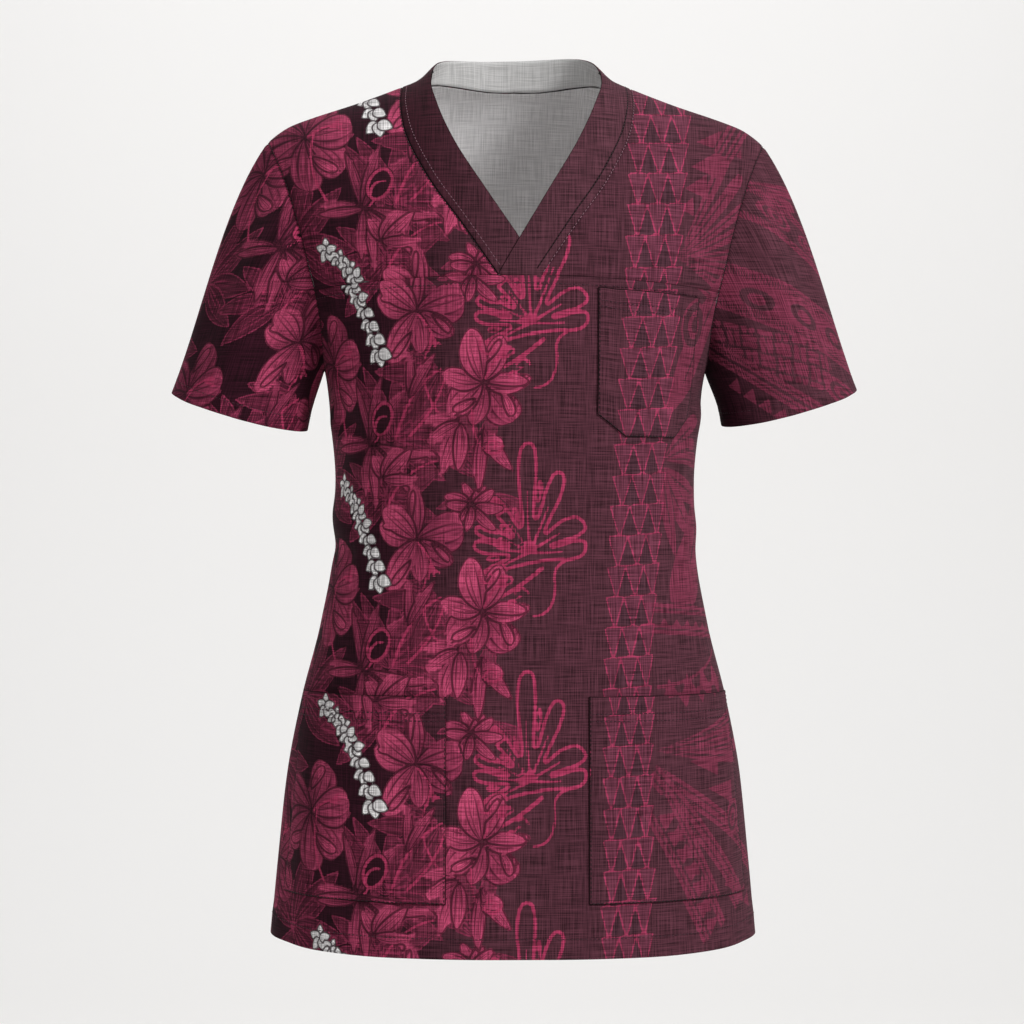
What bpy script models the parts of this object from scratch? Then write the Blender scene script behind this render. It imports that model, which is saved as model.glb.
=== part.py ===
"""Short-sleeved V-neck scrub top, filled out as if worn, with no wearer inside.

Metres, +Z up, X across the body (wearer's left is +X), front of the garment towards -Y.
The origin lies midway between the two neck-shoulder points, where a wearer holds the top up.
Every cut-and-sewn piece is one closed solid: a cloth wall with a small gap at each seam.
"""
import bpy
import bmesh
import numpy as np

# ---- cloth and seams -------------------------------------------------------------------
CLOTH = 0.0014            # wall of one layer of cloth
HEM_EXTRA = 0.0008        # turned-up cloth added inside a hem or cuff
SEAM_GAP = 0.0003         # daylight left between two pieces at a seam
LAY_GAP = 0.0004          # daylight under a pocket that lies on a curved panel
POCKET_CLOTH = 0.0012     # wall of a pocket bag
BACK, FRONT = 1.0, -1.0   # which side of the body, as the sign of Y

# ---- heights on the body ----------------------------------------------------------------
HEM_LEVEL = -0.686        # lower edge of the body
HEM_DEPTH = 0.015         # turned-up hem
HEM_LIFT = 0.0040         # how much higher the hem hangs at the side seams
HEM_LIFT_POWER = 6        # how closely that lift keeps to the sides
UNDERARM_LEVEL = -0.243   # where side seam and armhole meet
CROWN_LEVEL = 0.0137      # height of the shoulder line, carried on to the middle of the neck
SIDE_POWER = 2.20         # exponent of the rounded cross-section, 2 is an ellipse

TORSO_COLUMNS = ("level", "half_width", "front_depth", "back_depth")
TORSO_SECTIONS = (
    (HEM_LEVEL, 0.1900, 0.128, 0.124),        # hem
    (-0.620, 0.1840, 0.125, 0.126),           # hip
    (-0.560, 0.1778, 0.120, 0.124),
    (-0.500, 0.1665, 0.113, 0.114),           # top of the lower pockets
    (-0.440, 0.1515, 0.107, 0.100),
    (-0.380, 0.1418, 0.105, 0.092),           # waist
    (-0.330, 0.1406, 0.110, 0.094),
    (-0.285, 0.1444, 0.119, 0.101),
    (UNDERARM_LEVEL, 0.1495, 0.125, 0.108),   # bust
    (-0.200, 0.1590, 0.123, 0.114),
    (-0.150, 0.1745, 0.117, 0.119),
    (-0.100, 0.1885, 0.107, 0.122),           # shoulder blades
    (-0.050, 0.2000, 0.096, 0.122),
    (CROWN_LEVEL, 0.2100, 0.086, 0.121),
)

# the shoulder line, seen from the front, and how the cloth rolls over it
RIDGE_COLUMNS = ("reach", "height")
SHOULDER_RIDGE = (
    (0.0000, 0.0040),
    (0.0400, 0.0000),
    (0.0550, -0.0035),
    (0.0655, -0.0073),        # inner edge of the neckband
    (0.0758, -0.0153),
    (0.0895, -0.0212),        # seam of the neckband
    (0.1234, -0.0340),
    (0.1615, -0.0466),
    (0.1769, -0.0526),
    (0.1863, -0.0585),
    (0.1950, -0.0658),        # shoulder tip
    (0.2150, -0.0850),
)
SHOULDER_ROLL = {FRONT: (0.30, 2.0), BACK: (0.45, 2.3)}   # share of the height, exponent

# lower down, the back forgets the steep side of the neck and follows one soft curve
SOFT_BACK = {"height": 0.0266, "slope": 0.4514, "round": 0.050}
SOFT_BACK_FROM, SOFT_BACK_UNTIL = 0.40, 0.90   # shares between which the shoulder line takes over

ARMHOLE_COLUMNS = ("share", "front_reach", "back_reach")
ARMHOLE = (
    (0.00, 0.1495, 0.1495),   # underarm
    (0.15, 0.1510, 0.1525),
    (0.26, 0.1545, 0.1570),
    (0.38, 0.1600, 0.1630),
    (0.55, 0.1680, 0.1715),
    (0.73, 0.1780, 0.1810),
    (1.00, 0.1950, 0.1950),   # shoulder tip
)

# ---- neck ---------------------------------------------------------------------------------
# edges of the V-shaped band, from the shoulder line down to the point of the V
NECK_COLUMNS = ("share", "inner_reach", "inner_height", "seam_reach", "seam_height")
NECK_EDGES = (
    (0.00, 0.0655, -0.0073, 0.0895, -0.0212),
    (0.10, 0.0655, -0.0194, 0.0900, -0.0340),
    (0.25, 0.0595, -0.0390, 0.0870, -0.0565),
    (0.50, 0.0447, -0.0720, 0.0680, -0.0995),
    (0.75, 0.0225, -0.1105, 0.0423, -0.1375),
    (1.00, 0.0000, -0.1490, 0.0160, -0.1770),
)
NECK_BOW = {"inner_reach": 0.0040, "seam_reach": 0.0014}   # extra reach on the wearer's right
BACK_NECK_SEAM = -0.0140      # height of the band's seam at the centre back
BACK_NECK_ROUND = 1.5         # exponent of the scooped back neck, higher is narrower
BACK_BAND_TOP = (0.0645, 0.0105)   # depth and height of the band's upper edge, centre back
BACK_BAND_WAVE = 0.0016       # the upper edge stands this much higher on the wearer's left
BACK_BAND_ROUND = 2.4         # exponent of the upper edge, seen from above
BACK_SCOOP_BASE = 0.30        # share of the height where the rows start to follow the scoop
BAND_LENGTH = 0.19            # length of one front half of the band
BAND_TIP_STEPS = (0.33, 0.66, 1.0)   # rows of the tip that crosses the middle
BAND_TIP_WIDTH = 0.004        # width of the tip where the chest seam cuts it off
BAND_TIP_SHY = 0.0004         # the tip ends this much short of the other yoke

# ---- front seam under the neck ----------------------------------------------------------
YOKE_SEAM = -0.1775           # height at the centre front
YOKE_DROOP = 0.0075           # how much lower the seam is at the armhole
YOKE_SHARE = 0.27             # share of the armhole's height where the seam meets it

# ---- sleeves -------------------------------------------------------------------------------
CUFF_CENTRE = (0.2154, -0.004, -0.2733)
CUFF_LIFT = {-1: -0.0025, 1: 0.0025}     # the wearer's left cuff stands a little higher
CUFF_HALF_WIDTH = 0.0551      # across, seen from the front
CUFF_HALF_DEPTH = 0.0530      # front to back
CUFF_SLOPE = 15.5             # degrees that the sleeve stands away from the body
CUFF_DIP = 8.0                # degrees that the front of the cuff hangs lower
CUFF_DEPTH = 0.011            # turned-up hem of the sleeve
SLEEVE_CAP = (0.34, 0.12)     # how the cap first runs outwards and upwards
SLEEVE_FULLNESS = 0.26        # how the sleeve first swells to the front and back
SLEEVE_START, SLEEVE_END = 0.85, 0.95   # strength of the curve at armhole and cuff
SLEEVE_FLARE = 0.077          # how the sleeve widens at the cuff
SLEEVE_GAP = 0.0004           # daylight round the armhole
SLEEVE_MITRE = 3.0            # how soon a sleeve that folds back starts beside the body's wall
SLEEVE_RINGS = 9

# soft folds of the sleeve: place round the arm in degrees from the shoulder line
# (front positive), half width in degrees, height, share of the length where it is highest
FOLD_COLUMNS = ("place", "spread", "height", "peak")
SLEEVE_FOLDS = (
    (38.0, 20.0, -0.0030, 0.45),
    (72.0, 15.0, 0.0026, 0.30),
    (104.0, 17.0, -0.0024, 0.35),
    (-42.0, 20.0, -0.0028, 0.45),
    (-80.0, 17.0, 0.0024, 0.35),
    (-112.0, 17.0, -0.0024, 0.40),
)

# ---- pockets ---------------------------------------------------------------------------------
LOW_POCKET = {"inner": 0.053, "outer_top": 0.1625, "outer_bottom": 0.1785,
              "top": -0.492, "bottom": -0.6455}
CHEST_POCKET = {"inner": 0.0583, "outer_top": 0.1370, "outer_bottom": 0.1310,
                "top": -0.1865, "top_droop": 0.0045, "bottom": -0.2972, "chamfer": 0.0165}

# ---- mesh density -------------------------------------------------------------------------------
BODY_ROWS = 13                # rows between hem and underarm
BODY_COLUMNS = 24             # columns from side seam to side seam
YOKE_COLUMNS = 9
UNDERARM_SHARES = (0.025, 0.08, 0.16)      # rows between underarm and yoke seam
YOKE_STEPS = 11               # rows between yoke seam and shoulder line
BAND_COLUMNS = 3
NECK_COLUMNS_BACK = 7         # columns of the back, from the middle to the neck corner
SIDE_COLUMNS_BACK = 9         # columns of the back, from the neck corner to the side

# ---- finish ----------------------------------------------------------------------------------------
PRINTED_CLOTH = (0.115, 0.022, 0.047)
PLAIN_CLOTH = (0.070, 0.018, 0.032)
CLOTH_ROUGHNESS = 0.85
SHARP_EDGE = 50.0             # degrees above which an edge is left sharp


def read(columns, rows, name, at):
    """One named column of a table, read between its rows by monotone cubic pieces."""
    at = np.asarray(at, float)
    key = np.array([row[0] for row in rows])
    value = np.array([row[columns.index(name)] for row in rows])
    step = np.diff(key)
    slope = np.diff(value) / step
    same_way = slope[:-1] * slope[1:] > 0
    total = np.where(same_way, slope[:-1] + slope[1:], 1)
    mean = np.where(same_way, 2 * slope[:-1] * slope[1:] / total, 0)
    tangent = np.concatenate([slope[:1], mean, slope[-1:]])
    at = np.clip(at, key[0], key[-1])
    i = np.clip(np.searchsorted(key, at, side="right") - 1, 0, len(step) - 1)
    t = (at - key[i]) / step[i]
    return (value[i] * (1 + 2 * t) * (1 - t) ** 2 + value[i + 1] * t * t * (3 - 2 * t)
            + step[i] * (tangent[i] * t * (1 - t) ** 2 - tangent[i + 1] * t * t * (1 - t)))


def half_width(level):
    return read(TORSO_COLUMNS, TORSO_SECTIONS, "half_width", level)


def share_up(level):
    """Share of the way from the underarm to the shoulder line, 0 below the underarm."""
    return np.clip((level - UNDERARM_LEVEL) / (CROWN_LEVEL - UNDERARM_LEVEL), 0, 1)


def level_at(share):
    return UNDERARM_LEVEL + share * (CROWN_LEVEL - UNDERARM_LEVEL)


def ridge(reach):
    return read(RIDGE_COLUMNS, SHOULDER_RIDGE, "height", np.abs(reach))


def back_ridge(reach, share):
    """Shoulder line as the back's rows follow it: a soft curve that turns into the true line."""
    soft = SOFT_BACK["height"] - SOFT_BACK["slope"] * np.hypot(reach, SOFT_BACK["round"])
    turn = np.clip((share - SOFT_BACK_FROM) / (SOFT_BACK_UNTIL - SOFT_BACK_FROM), 0, 1)
    return soft + (ridge(reach) - soft) * turn * turn * (3 - 2 * turn)


def angle_to(reach, level):
    """Angle from the middle of front or back at which the form is this far from the centre."""
    ratio = np.clip(np.abs(reach) / half_width(level), 0, 1)
    return np.sign(reach) * np.arcsin(ratio ** (SIDE_POWER / 2))


def level_of(reach, height):
    """Level whose line passes through this reach and height above the underarm."""
    share = (height - UNDERARM_LEVEL) / (ridge(reach) - UNDERARM_LEVEL)
    return np.where(height > UNDERARM_LEVEL, level_at(share), height)


def torso(angle, level, side, inset=0.0):
    """Point of the torso form: a rounded section whose depth closes on the shoulder line."""
    angle, level = np.broadcast_arrays(np.asarray(angle, float), np.asarray(level, float))
    near_hem = np.clip((HEM_LEVEL + 2 * HEM_DEPTH - level) / HEM_DEPTH, 0, 1)
    depth_name = "front_depth" if side == FRONT else "back_depth"
    depth = read(TORSO_COLUMNS, TORSO_SECTIONS, depth_name, level) - inset
    start, power = SHOULDER_ROLL[side]
    share = share_up(level)
    turn = np.clip((share - start) / (1 - start), 0, 1)
    roll = (1 - turn ** power) ** (1 / power)
    sine, cosine = np.sin(angle), np.clip(np.cos(angle), 0, 1)
    x = (half_width(level) - inset) * np.sign(sine) * np.abs(sine) ** (2 / SIDE_POWER)
    y = side * (depth * roll * cosine ** (2 / SIDE_POWER) + SEAM_GAP / 2)
    line = ridge(x) if side == FRONT else back_ridge(x, share)
    above = UNDERARM_LEVEL + (line - inset - UNDERARM_LEVEL) * share
    lift = HEM_LIFT * near_hem * sine ** HEM_LIFT_POWER
    z = np.where(level > UNDERARM_LEVEL, above, level + lift)
    return np.stack([x, y, z], axis=-1)


def armhole_angle(share, side):
    name = "front_reach" if side == FRONT else "back_reach"
    reach = read(ARMHOLE_COLUMNS, ARMHOLE, name, share)
    return angle_to(reach, level_at(share))


def unit(vectors):
    return vectors / np.linalg.norm(vectors, axis=-1, keepdims=True)


def armhole_reach_at_seam():
    return read(ARMHOLE_COLUMNS, ARMHOLE, "front_reach", YOKE_SHARE)


def armhole_shares():
    """Rows that reach the armhole, from the underarm to the shoulder tip."""
    seam_share = share_up(level_of(armhole_reach_at_seam(), YOKE_SEAM - YOKE_DROOP))
    upper = seam_share + (1 - seam_share) * np.sin(np.linspace(0, np.pi / 2, YOKE_STEPS + 1))
    return np.concatenate([[0.0], UNDERARM_SHARES, upper])


def yoke_seam_height(reach):
    """The front seam droops towards the armholes, as the square of the reach."""
    return YOKE_SEAM - YOKE_DROOP * (np.asarray(reach) / armhole_reach_at_seam()) ** 2


def neck(name, share, hand=1):
    """Reach or height of one edge of the band; it bows out a little on the wearer's right."""
    bow = NECK_BOW.get(name, 0) if hand < 0 else 0
    return read(NECK_COLUMNS, NECK_EDGES, name, share) + bow * np.sin(np.pi * np.asarray(share))


def wall_solid(name, outer, inner, colour, ring=False):
    """Closed cloth wall between two grids of points; a ring joins its last column to its first."""
    rows, columns = outer.shape[:2]
    if ring:
        spans = [(j, (j + 1) % columns) for j in range(columns)]
    else:
        spans = [(j, j + 1) for j in range(columns - 1)]
    mesh = bpy.data.meshes.new(name)
    shell = bmesh.new()
    out = [[shell.verts.new(p) for p in row] for row in outer]
    back = [[shell.verts.new(p) for p in row] for row in inner]
    for i in range(rows - 1):
        for j, k in spans:
            shell.faces.new((out[i][j], out[i][k], out[i + 1][k], out[i + 1][j]))
            shell.faces.new((back[i][j], back[i + 1][j], back[i + 1][k], back[i][k]))
    for j, k in spans:
        shell.faces.new((out[0][k], out[0][j], back[0][j], back[0][k]))
        shell.faces.new((out[-1][j], out[-1][k], back[-1][k], back[-1][j]))
    if not ring:
        for i in range(rows - 1):
            shell.faces.new((out[i][0], out[i + 1][0], back[i + 1][0], back[i][0]))
            shell.faces.new((out[i + 1][-1], out[i][-1], back[i][-1], back[i + 1][-1]))
    bmesh.ops.recalc_face_normals(shell, faces=shell.faces)
    shell.to_mesh(mesh)
    shell.free()
    mesh.shade_smooth()
    mesh.set_sharp_from_angle(angle=np.radians(SHARP_EDGE))
    piece = bpy.data.objects.new(name, mesh)
    bpy.context.scene.collection.objects.link(piece)
    mesh.materials.append(cloth_material(name, colour))
    return piece


def cloth_material(name, colour):
    material = bpy.data.materials.new(name + "_cloth")
    material.use_nodes = True
    shader = material.node_tree.nodes["Principled BSDF"]
    shader.inputs["Base Color"].default_value = (*colour, 1.0)
    shader.inputs["Roughness"].default_value = CLOTH_ROUGHNESS
    shader.inputs["Metallic"].default_value = 0.0
    return material


def body_levels():
    """Rows from the hem to the underarm, with one at the top of the turned-up hem."""
    plain = np.linspace(HEM_LEVEL + HEM_DEPTH, UNDERARM_LEVEL, BODY_ROWS)
    return np.concatenate([[HEM_LEVEL, HEM_LEVEL + HEM_DEPTH - HEM_EXTRA], plain])


def body_wall(level):
    return np.where(level < HEM_LEVEL + HEM_DEPTH - HEM_EXTRA / 2, CLOTH + HEM_EXTRA, CLOTH)


def panel(name, angle, level, side, colour):
    """Wall of the body: the form's own points outside, and inset by the cloth inside."""
    outer = torso(angle, level, side)
    inner = torso(angle, level, side, body_wall(level))
    return wall_solid(name, outer, inner, colour)


def build_front():
    """Lower front, from the hem up to the seam that crosses the chest."""
    across = np.linspace(-1, 1, BODY_COLUMNS + 1)
    shares = armhole_shares()
    lower = shares[1:len(UNDERARM_SHARES) + 1]
    level_rows = [np.full(len(across), level) for level in body_levels()]
    angle_rows = [across * np.pi / 2 for _ in body_levels()]
    for share in lower:
        level_rows.append(np.full(len(across), level_at(share)))
        angle_rows.append(across * armhole_angle(share, FRONT))
    seam_angle = across * armhole_angle(shares[len(lower) + 1], FRONT)
    seam_reach = torso(seam_angle, level_at(shares[len(lower) + 1]), FRONT)[:, 0]
    level_rows.append(level_of(seam_reach, yoke_seam_height(seam_reach) - SEAM_GAP / 2))
    angle_rows.append(angle_to(seam_reach, level_rows[-1]))
    return panel("front_body", np.array(angle_rows), np.array(level_rows), FRONT, PRINTED_CLOTH)


def build_yoke(hand, name):
    """Upper front of one side, between neckband, shoulder line, armhole and the chest seam."""
    arm_share, along = yoke_rows()
    neck_reach = neck("seam_reach", along, hand) + SEAM_GAP
    neck_level = level_of(neck_reach, neck("seam_height", along))
    arm_reach = read(ARMHOLE_COLUMNS, ARMHOLE, "front_reach", arm_share)
    across = np.linspace(0, 1, YOKE_COLUMNS + 1)[None, :]
    reach = neck_reach[:, None] + (arm_reach - neck_reach)[:, None] * across
    level = neck_level[:, None] + (level_at(arm_share) - neck_level)[:, None] * across
    level[-1] = CROWN_LEVEL
    level[0] = level_of(reach[0], yoke_seam_height(reach[0]) + SEAM_GAP / 2)
    return panel(name, hand * angle_to(reach, level), level, FRONT, PRINTED_CLOTH)


def yoke_rows():
    """Armhole share of each yoke row, and its place along the neck, 1 at the chest seam."""
    arm_share = armhole_shares()[len(UNDERARM_SHARES) + 1:]
    return arm_share, (1 - arm_share) / (1 - arm_share[0])


def back_columns():
    """Reach of each column as a share of the half width; one column meets the neck corner."""
    corner = neck("seam_reach", 0.0) / ARMHOLE[-1][2]
    corner_angle = np.arcsin(corner ** (SIDE_POWER / 2))
    under_neck = corner * np.sin(np.linspace(0, np.pi / 2, NECK_COLUMNS_BACK + 1))
    angles = np.linspace(corner_angle, np.pi / 2, SIDE_COLUMNS_BACK + 1)[1:]
    half = np.concatenate([under_neck, np.sin(angles) ** (2 / SIDE_POWER)])
    return np.concatenate([-half[:0:-1], half]), corner


def back_top_share(column, corner):
    """Share of the height where the back ends: the shoulder line, or the scooped neck."""
    scoop = 1 - (BACK_NECK_SEAM - UNDERARM_LEVEL) / (ridge(0.0) - UNDERARM_LEVEL)
    along = np.clip(np.abs(column) / corner, 0, 1)
    return 1 - scoop * (1 - along ** 2) ** BACK_NECK_ROUND


def build_back():
    """The whole back in one piece, from the hem up to shoulder lines and neck."""
    columns, corner = back_columns()
    top = back_top_share(columns, corner)
    angle_rows, level_rows = [], []
    for level in body_levels():
        level_rows.append(np.full(len(columns), level))
        angle_rows.append(angle_to(columns * half_width(level), level))
    for share in armhole_shares()[1:]:
        squeeze = max(share - BACK_SCOOP_BASE, 0) / (1 - BACK_SCOOP_BASE)
        level_rows.append(level_at(share - (1 - top) * squeeze))
        reach = columns * read(ARMHOLE_COLUMNS, ARMHOLE, "back_reach", share)
        angle_rows.append(angle_to(reach, level_rows[-1]))
    return panel("back_body", np.array(angle_rows), np.array(level_rows), BACK, PRINTED_CLOTH)


def build_front_band(hand, name, over):
    """Front half of the V band; the one that lies over crosses the middle at the V's point."""
    along = yoke_rows()[1][::-1].copy()
    if not over:
        along[-1] -= SEAM_GAP / BAND_LENGTH
    edges = np.stack([neck(key, along, hand) for key in NECK_COLUMNS[1:]], axis=-1)
    if over:
        tip = edges[-1]
        for r in BAND_TIP_STEPS:
            crossing = (-tip[2] + BAND_TIP_SHY - tip[0]) * r, tip[1] + (tip[3] - tip[1]) * r
            under = (1 - 2 * r) * tip[2] + r * BAND_TIP_WIDTH, tip[3]
            edges = np.vstack([edges, (*crossing, *under)])
    t = np.linspace(0, 1, BAND_COLUMNS + 1)[None, :]
    reach = edges[:, 2, None] * (1 - t) + edges[:, 0, None] * t
    height = edges[:, 3, None] * (1 - t) + edges[:, 1, None] * t
    level = level_of(reach, height)
    level[0] = CROWN_LEVEL
    return panel(name, hand * angle_to(reach, level), level, FRONT, PLAIN_CLOTH)


def build_back_band():
    """Back of the neckband, standing up from the scooped neck to its own rounded edge."""
    columns, corner = back_columns()
    columns = columns[np.abs(columns) <= corner + 1e-9]
    top_share = back_top_share(columns, corner)
    seam = torso(angle_to(columns * ARMHOLE[-1][2], level_at(top_share)), level_at(top_share), BACK)
    turn = np.arcsin(np.clip(columns / corner, -1, 1))
    depth, crest = BACK_BAND_TOP
    reach = neck("inner_reach", 0.0)
    low = ridge(reach)
    power = 2 / BACK_BAND_ROUND
    edge = np.stack([
        reach * np.sign(turn) * np.abs(np.sin(turn)) ** power,
        depth * np.cos(turn) ** power + SEAM_GAP / 2,
        low + (crest - low) * (1 - (1 - np.cos(turn)) ** 2)
        + BACK_BAND_WAVE * np.sin(2 * turn) * np.cos(turn),
    ], axis=-1)
    edge[[0, -1], 1] = SEAM_GAP / 2
    seam = seam + SEAM_GAP * unit(edge - seam)
    seam[[0, -1], 1] = SEAM_GAP / 2
    t = np.linspace(0, 1, BAND_COLUMNS + 1)[:, None, None]
    outer = seam[None] * (1 - t) + edge[None] * t
    inner = outer - CLOTH * grid_normals(outer, outward=(0, 1, 0))
    inner[:, [0, -1], 1] = SEAM_GAP / 2
    return wall_solid("neckband_back", outer, inner, PLAIN_CLOTH)


def grid_normals(grid, outward=None, ring=False):
    """Unit normals of a grid of points, from the points on each side."""
    if ring:
        across = np.roll(grid, -1, axis=1) - np.roll(grid, 1, axis=1)
    else:
        across = np.gradient(grid, axis=1)
    normal = unit(np.cross(np.gradient(grid, axis=0), across))
    middle = normal[len(grid) // 2, grid.shape[1] // 2]
    if outward is not None and np.dot(middle, outward) < 0:
        normal = -normal
    return normal


def armhole_loop():
    """Points round the armhole: down the front, up the back, with the body's wall direction."""
    shares = armhole_shares()
    front, back = shares[::-1], shares[1:-1]
    points, walls = [], []
    for side, share in ((FRONT, front), (BACK, back)):
        angle = armhole_angle(share, side)
        points.append(torso(angle, level_at(share), side))
        walls.append(unit(points[-1] - torso(angle, level_at(share), side, CLOTH)))
    points, walls = np.concatenate(points), np.concatenate(walls)
    points[[0, len(front) - 1], 1] = 0
    place = np.concatenate([np.arccos(2 * front - 1), -np.arccos(2 * back - 1)])
    return points, walls, place


def fold_relief(place, along):
    """Height of the soft folds: a bell across each fold, a slow rise and fall along it."""
    degrees = np.degrees(place)[None, :]
    along = along[:, None]
    relief = np.zeros((len(along), len(place)))
    for centre, spread, height, peak in SLEEVE_FOLDS:
        relief += height * np.exp(-((degrees - centre) / spread) ** 2) \
            * along / peak * np.exp(1 - along / peak)
    return relief


def build_sleeve(hand, name):
    """Tube from the armhole to the cuff: a Hermite curve from each armhole point to its own
    point of the cuff's oval, raised and sunk by the soft folds."""
    hole, wall, place = armhole_loop()
    slope, dip = np.radians(CUFF_SLOPE), np.radians(CUFF_DIP)
    axis = np.array([np.sin(slope), 0, -np.cos(slope)])
    sideways = np.array([np.cos(slope), 0, np.sin(slope)])
    forwards = np.array([0, -np.cos(dip), -np.sin(dip)])
    cosine, sine = np.cos(place)[:, None], np.sin(place)[:, None]
    centre = np.array(CUFF_CENTRE) + (0, 0, CUFF_LIFT[hand])
    cuff = centre + CUFF_HALF_WIDTH * cosine * sideways + CUFF_HALF_DEPTH * sine * forwards
    leaving = unit(axis + SLEEVE_FLARE * cosine * sideways)
    hem_line = cuff - CUFF_DEPTH * leaving
    top = (1 + cosine) / 2
    starting = unit(axis + np.concatenate([SLEEVE_CAP[0] * top, -SLEEVE_FULLNESS * sine,
                                           SLEEVE_CAP[1] * top], axis=1))
    along = np.linspace(0, 1, SLEEVE_RINGS + 1)
    t = along[:, None, None]
    chord = np.linalg.norm(hem_line - hole, axis=1)[:, None]
    tangent = np.cross(wall, np.roll(hole, -1, axis=0) - np.roll(hole, 1, axis=0))
    folding = np.sum(starting * wall, axis=1, keepdims=True)
    flat = np.clip(1 - SLEEVE_MITRE * np.maximum(folding, 0), 0, 1)
    first = hole + SLEEVE_GAP * unit(flat * unit(tangent) + (1 - flat) * wall)
    outer = (first * (2 * t ** 3 - 3 * t ** 2 + 1) + hem_line * (3 * t ** 2 - 2 * t ** 3)
             + SLEEVE_START * chord * starting * (t ** 3 - 2 * t ** 2 + t)
             + SLEEVE_END * chord * leaving * (t ** 3 - t ** 2))
    outer = outer + fold_relief(place, along)[..., None] * grid_normals(outer, (1, 0, 0), True)
    outer = np.concatenate([outer, [outer[-1] + HEM_EXTRA * leaving, cuff]])
    normal = grid_normals(outer, None, True)
    if np.dot(normal[1, 0], sideways) < 0:
        normal = -normal
    thickness = np.full((len(outer), 1, 1), CLOTH)
    thickness[-2:] += HEM_EXTRA
    inner = outer - thickness * normal
    inner[0] = outer[0] - CLOTH * unit(flat * wall + (1 - flat) * normal[0])
    mirror = np.array([hand, 1, 1])
    return wall_solid(name, outer * mirror, inner * mirror, PRINTED_CLOTH, ring=True)


def build_pocket(name, hand, size, columns, rows):
    """Patch pocket: the panel's own points, moved out by a small gap and by its cloth."""
    across, down = np.meshgrid(np.linspace(0, 1, columns + 1), np.linspace(0, 1, rows + 1))
    width = size["outer_bottom"] - size["inner"]
    corner = size.get("chamfer", 0.0)
    from_side = np.minimum(across, 1 - across) * width
    bottom = size["bottom"] + np.clip(corner - from_side, 0, None)
    top = size["top"] - size.get("top_droop", 0.0) * across
    height = top + (bottom - top) * down
    outer_reach = size["outer_top"] + (size["outer_bottom"] - size["outer_top"]) * down
    level = level_of(size["inner"] + (outer_reach - size["inner"]) * across, height)
    first, last = angle_to(size["inner"], level), angle_to(outer_reach, level)
    angle = hand * (first + (last - first) * across)
    under = torso(angle, level, FRONT, -LAY_GAP)
    over = torso(angle, level, FRONT, -LAY_GAP - POCKET_CLOTH)
    return wall_solid(name, over, under, PRINTED_CLOTH)


def clear():
    for thing in list(bpy.data.objects):
        bpy.data.objects.remove(thing, do_unlink=True)


def main():
    clear()
    build_front()
    build_yoke(-1, "front_yoke_right")
    build_yoke(1, "front_yoke_left")
    build_back()
    build_front_band(-1, "neckband_right", over=False)
    build_front_band(1, "neckband_left", over=True)
    build_back_band()
    build_sleeve(-1, "sleeve_right")
    build_sleeve(1, "sleeve_left")
    build_pocket("pocket_right", -1, LOW_POCKET, 14, 8)
    build_pocket("pocket_left", 1, LOW_POCKET, 14, 8)
    build_pocket("chest_pocket", 1, CHEST_POCKET, 10, 8)


main()
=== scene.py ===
import bpy
import numpy as np
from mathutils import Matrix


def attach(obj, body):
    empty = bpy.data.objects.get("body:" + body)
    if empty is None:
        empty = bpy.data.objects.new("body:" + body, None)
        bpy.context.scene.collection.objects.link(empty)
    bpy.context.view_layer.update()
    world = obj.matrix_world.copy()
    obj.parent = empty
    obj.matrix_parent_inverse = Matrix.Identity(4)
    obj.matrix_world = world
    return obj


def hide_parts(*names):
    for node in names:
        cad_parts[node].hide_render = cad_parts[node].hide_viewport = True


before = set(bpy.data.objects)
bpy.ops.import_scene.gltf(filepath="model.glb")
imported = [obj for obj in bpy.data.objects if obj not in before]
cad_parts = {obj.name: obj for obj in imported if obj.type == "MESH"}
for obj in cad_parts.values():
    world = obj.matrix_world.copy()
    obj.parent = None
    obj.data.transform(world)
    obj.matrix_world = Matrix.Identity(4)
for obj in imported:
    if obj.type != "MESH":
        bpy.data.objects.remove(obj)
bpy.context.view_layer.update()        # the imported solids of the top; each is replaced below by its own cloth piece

front, back = -1.0, 1.0       # side of the body, as the sign of Y

# camera: far off, level, a touch to the left, so both sleeves show their fronts; metres, degrees
# and millimetres of lens
cameraSetup = {"distance": 2.2, "turn": 1.5, "roll": 0.2, "height": -0.354, "lens": 98.4,
               "shiftX": -0.0025}
turn = np.radians(cameraSetup["turn"])
cameraData = bpy.data.cameras.new("viewCamera")
cameraData.lens = cameraSetup["lens"]
cameraData.sensor_width = 36.0
cameraData.shift_x = cameraSetup["shiftX"]
viewCamera = bpy.data.objects.new("viewCamera", cameraData)
bpy.context.scene.collection.objects.link(viewCamera)
viewCamera.location = (-cameraSetup["distance"] * np.sin(turn),
                       -cameraSetup["distance"] * np.cos(turn), cameraSetup["height"])
viewCamera.rotation_euler = (np.radians(90.0), -np.radians(cameraSetup["roll"]), -turn)
bpy.context.scene.camera = viewCamera
print("placed the camera")

# cloth of every piece, in metres: wall, what a turned hem adds, how deep and how wide a seam turns
# in, and the close steps of the grid there
cloth = {"wall": 0.0009, "hemExtra": 0.0009, "seamDip": 0.0011, "seamReach": 0.0014,
         "edgeSteps": (0.0, 0.0006, 0.0013, 0.0022)}
innerStep = 4                 # the inner skin has one cell for so many of the outer skin's

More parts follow.
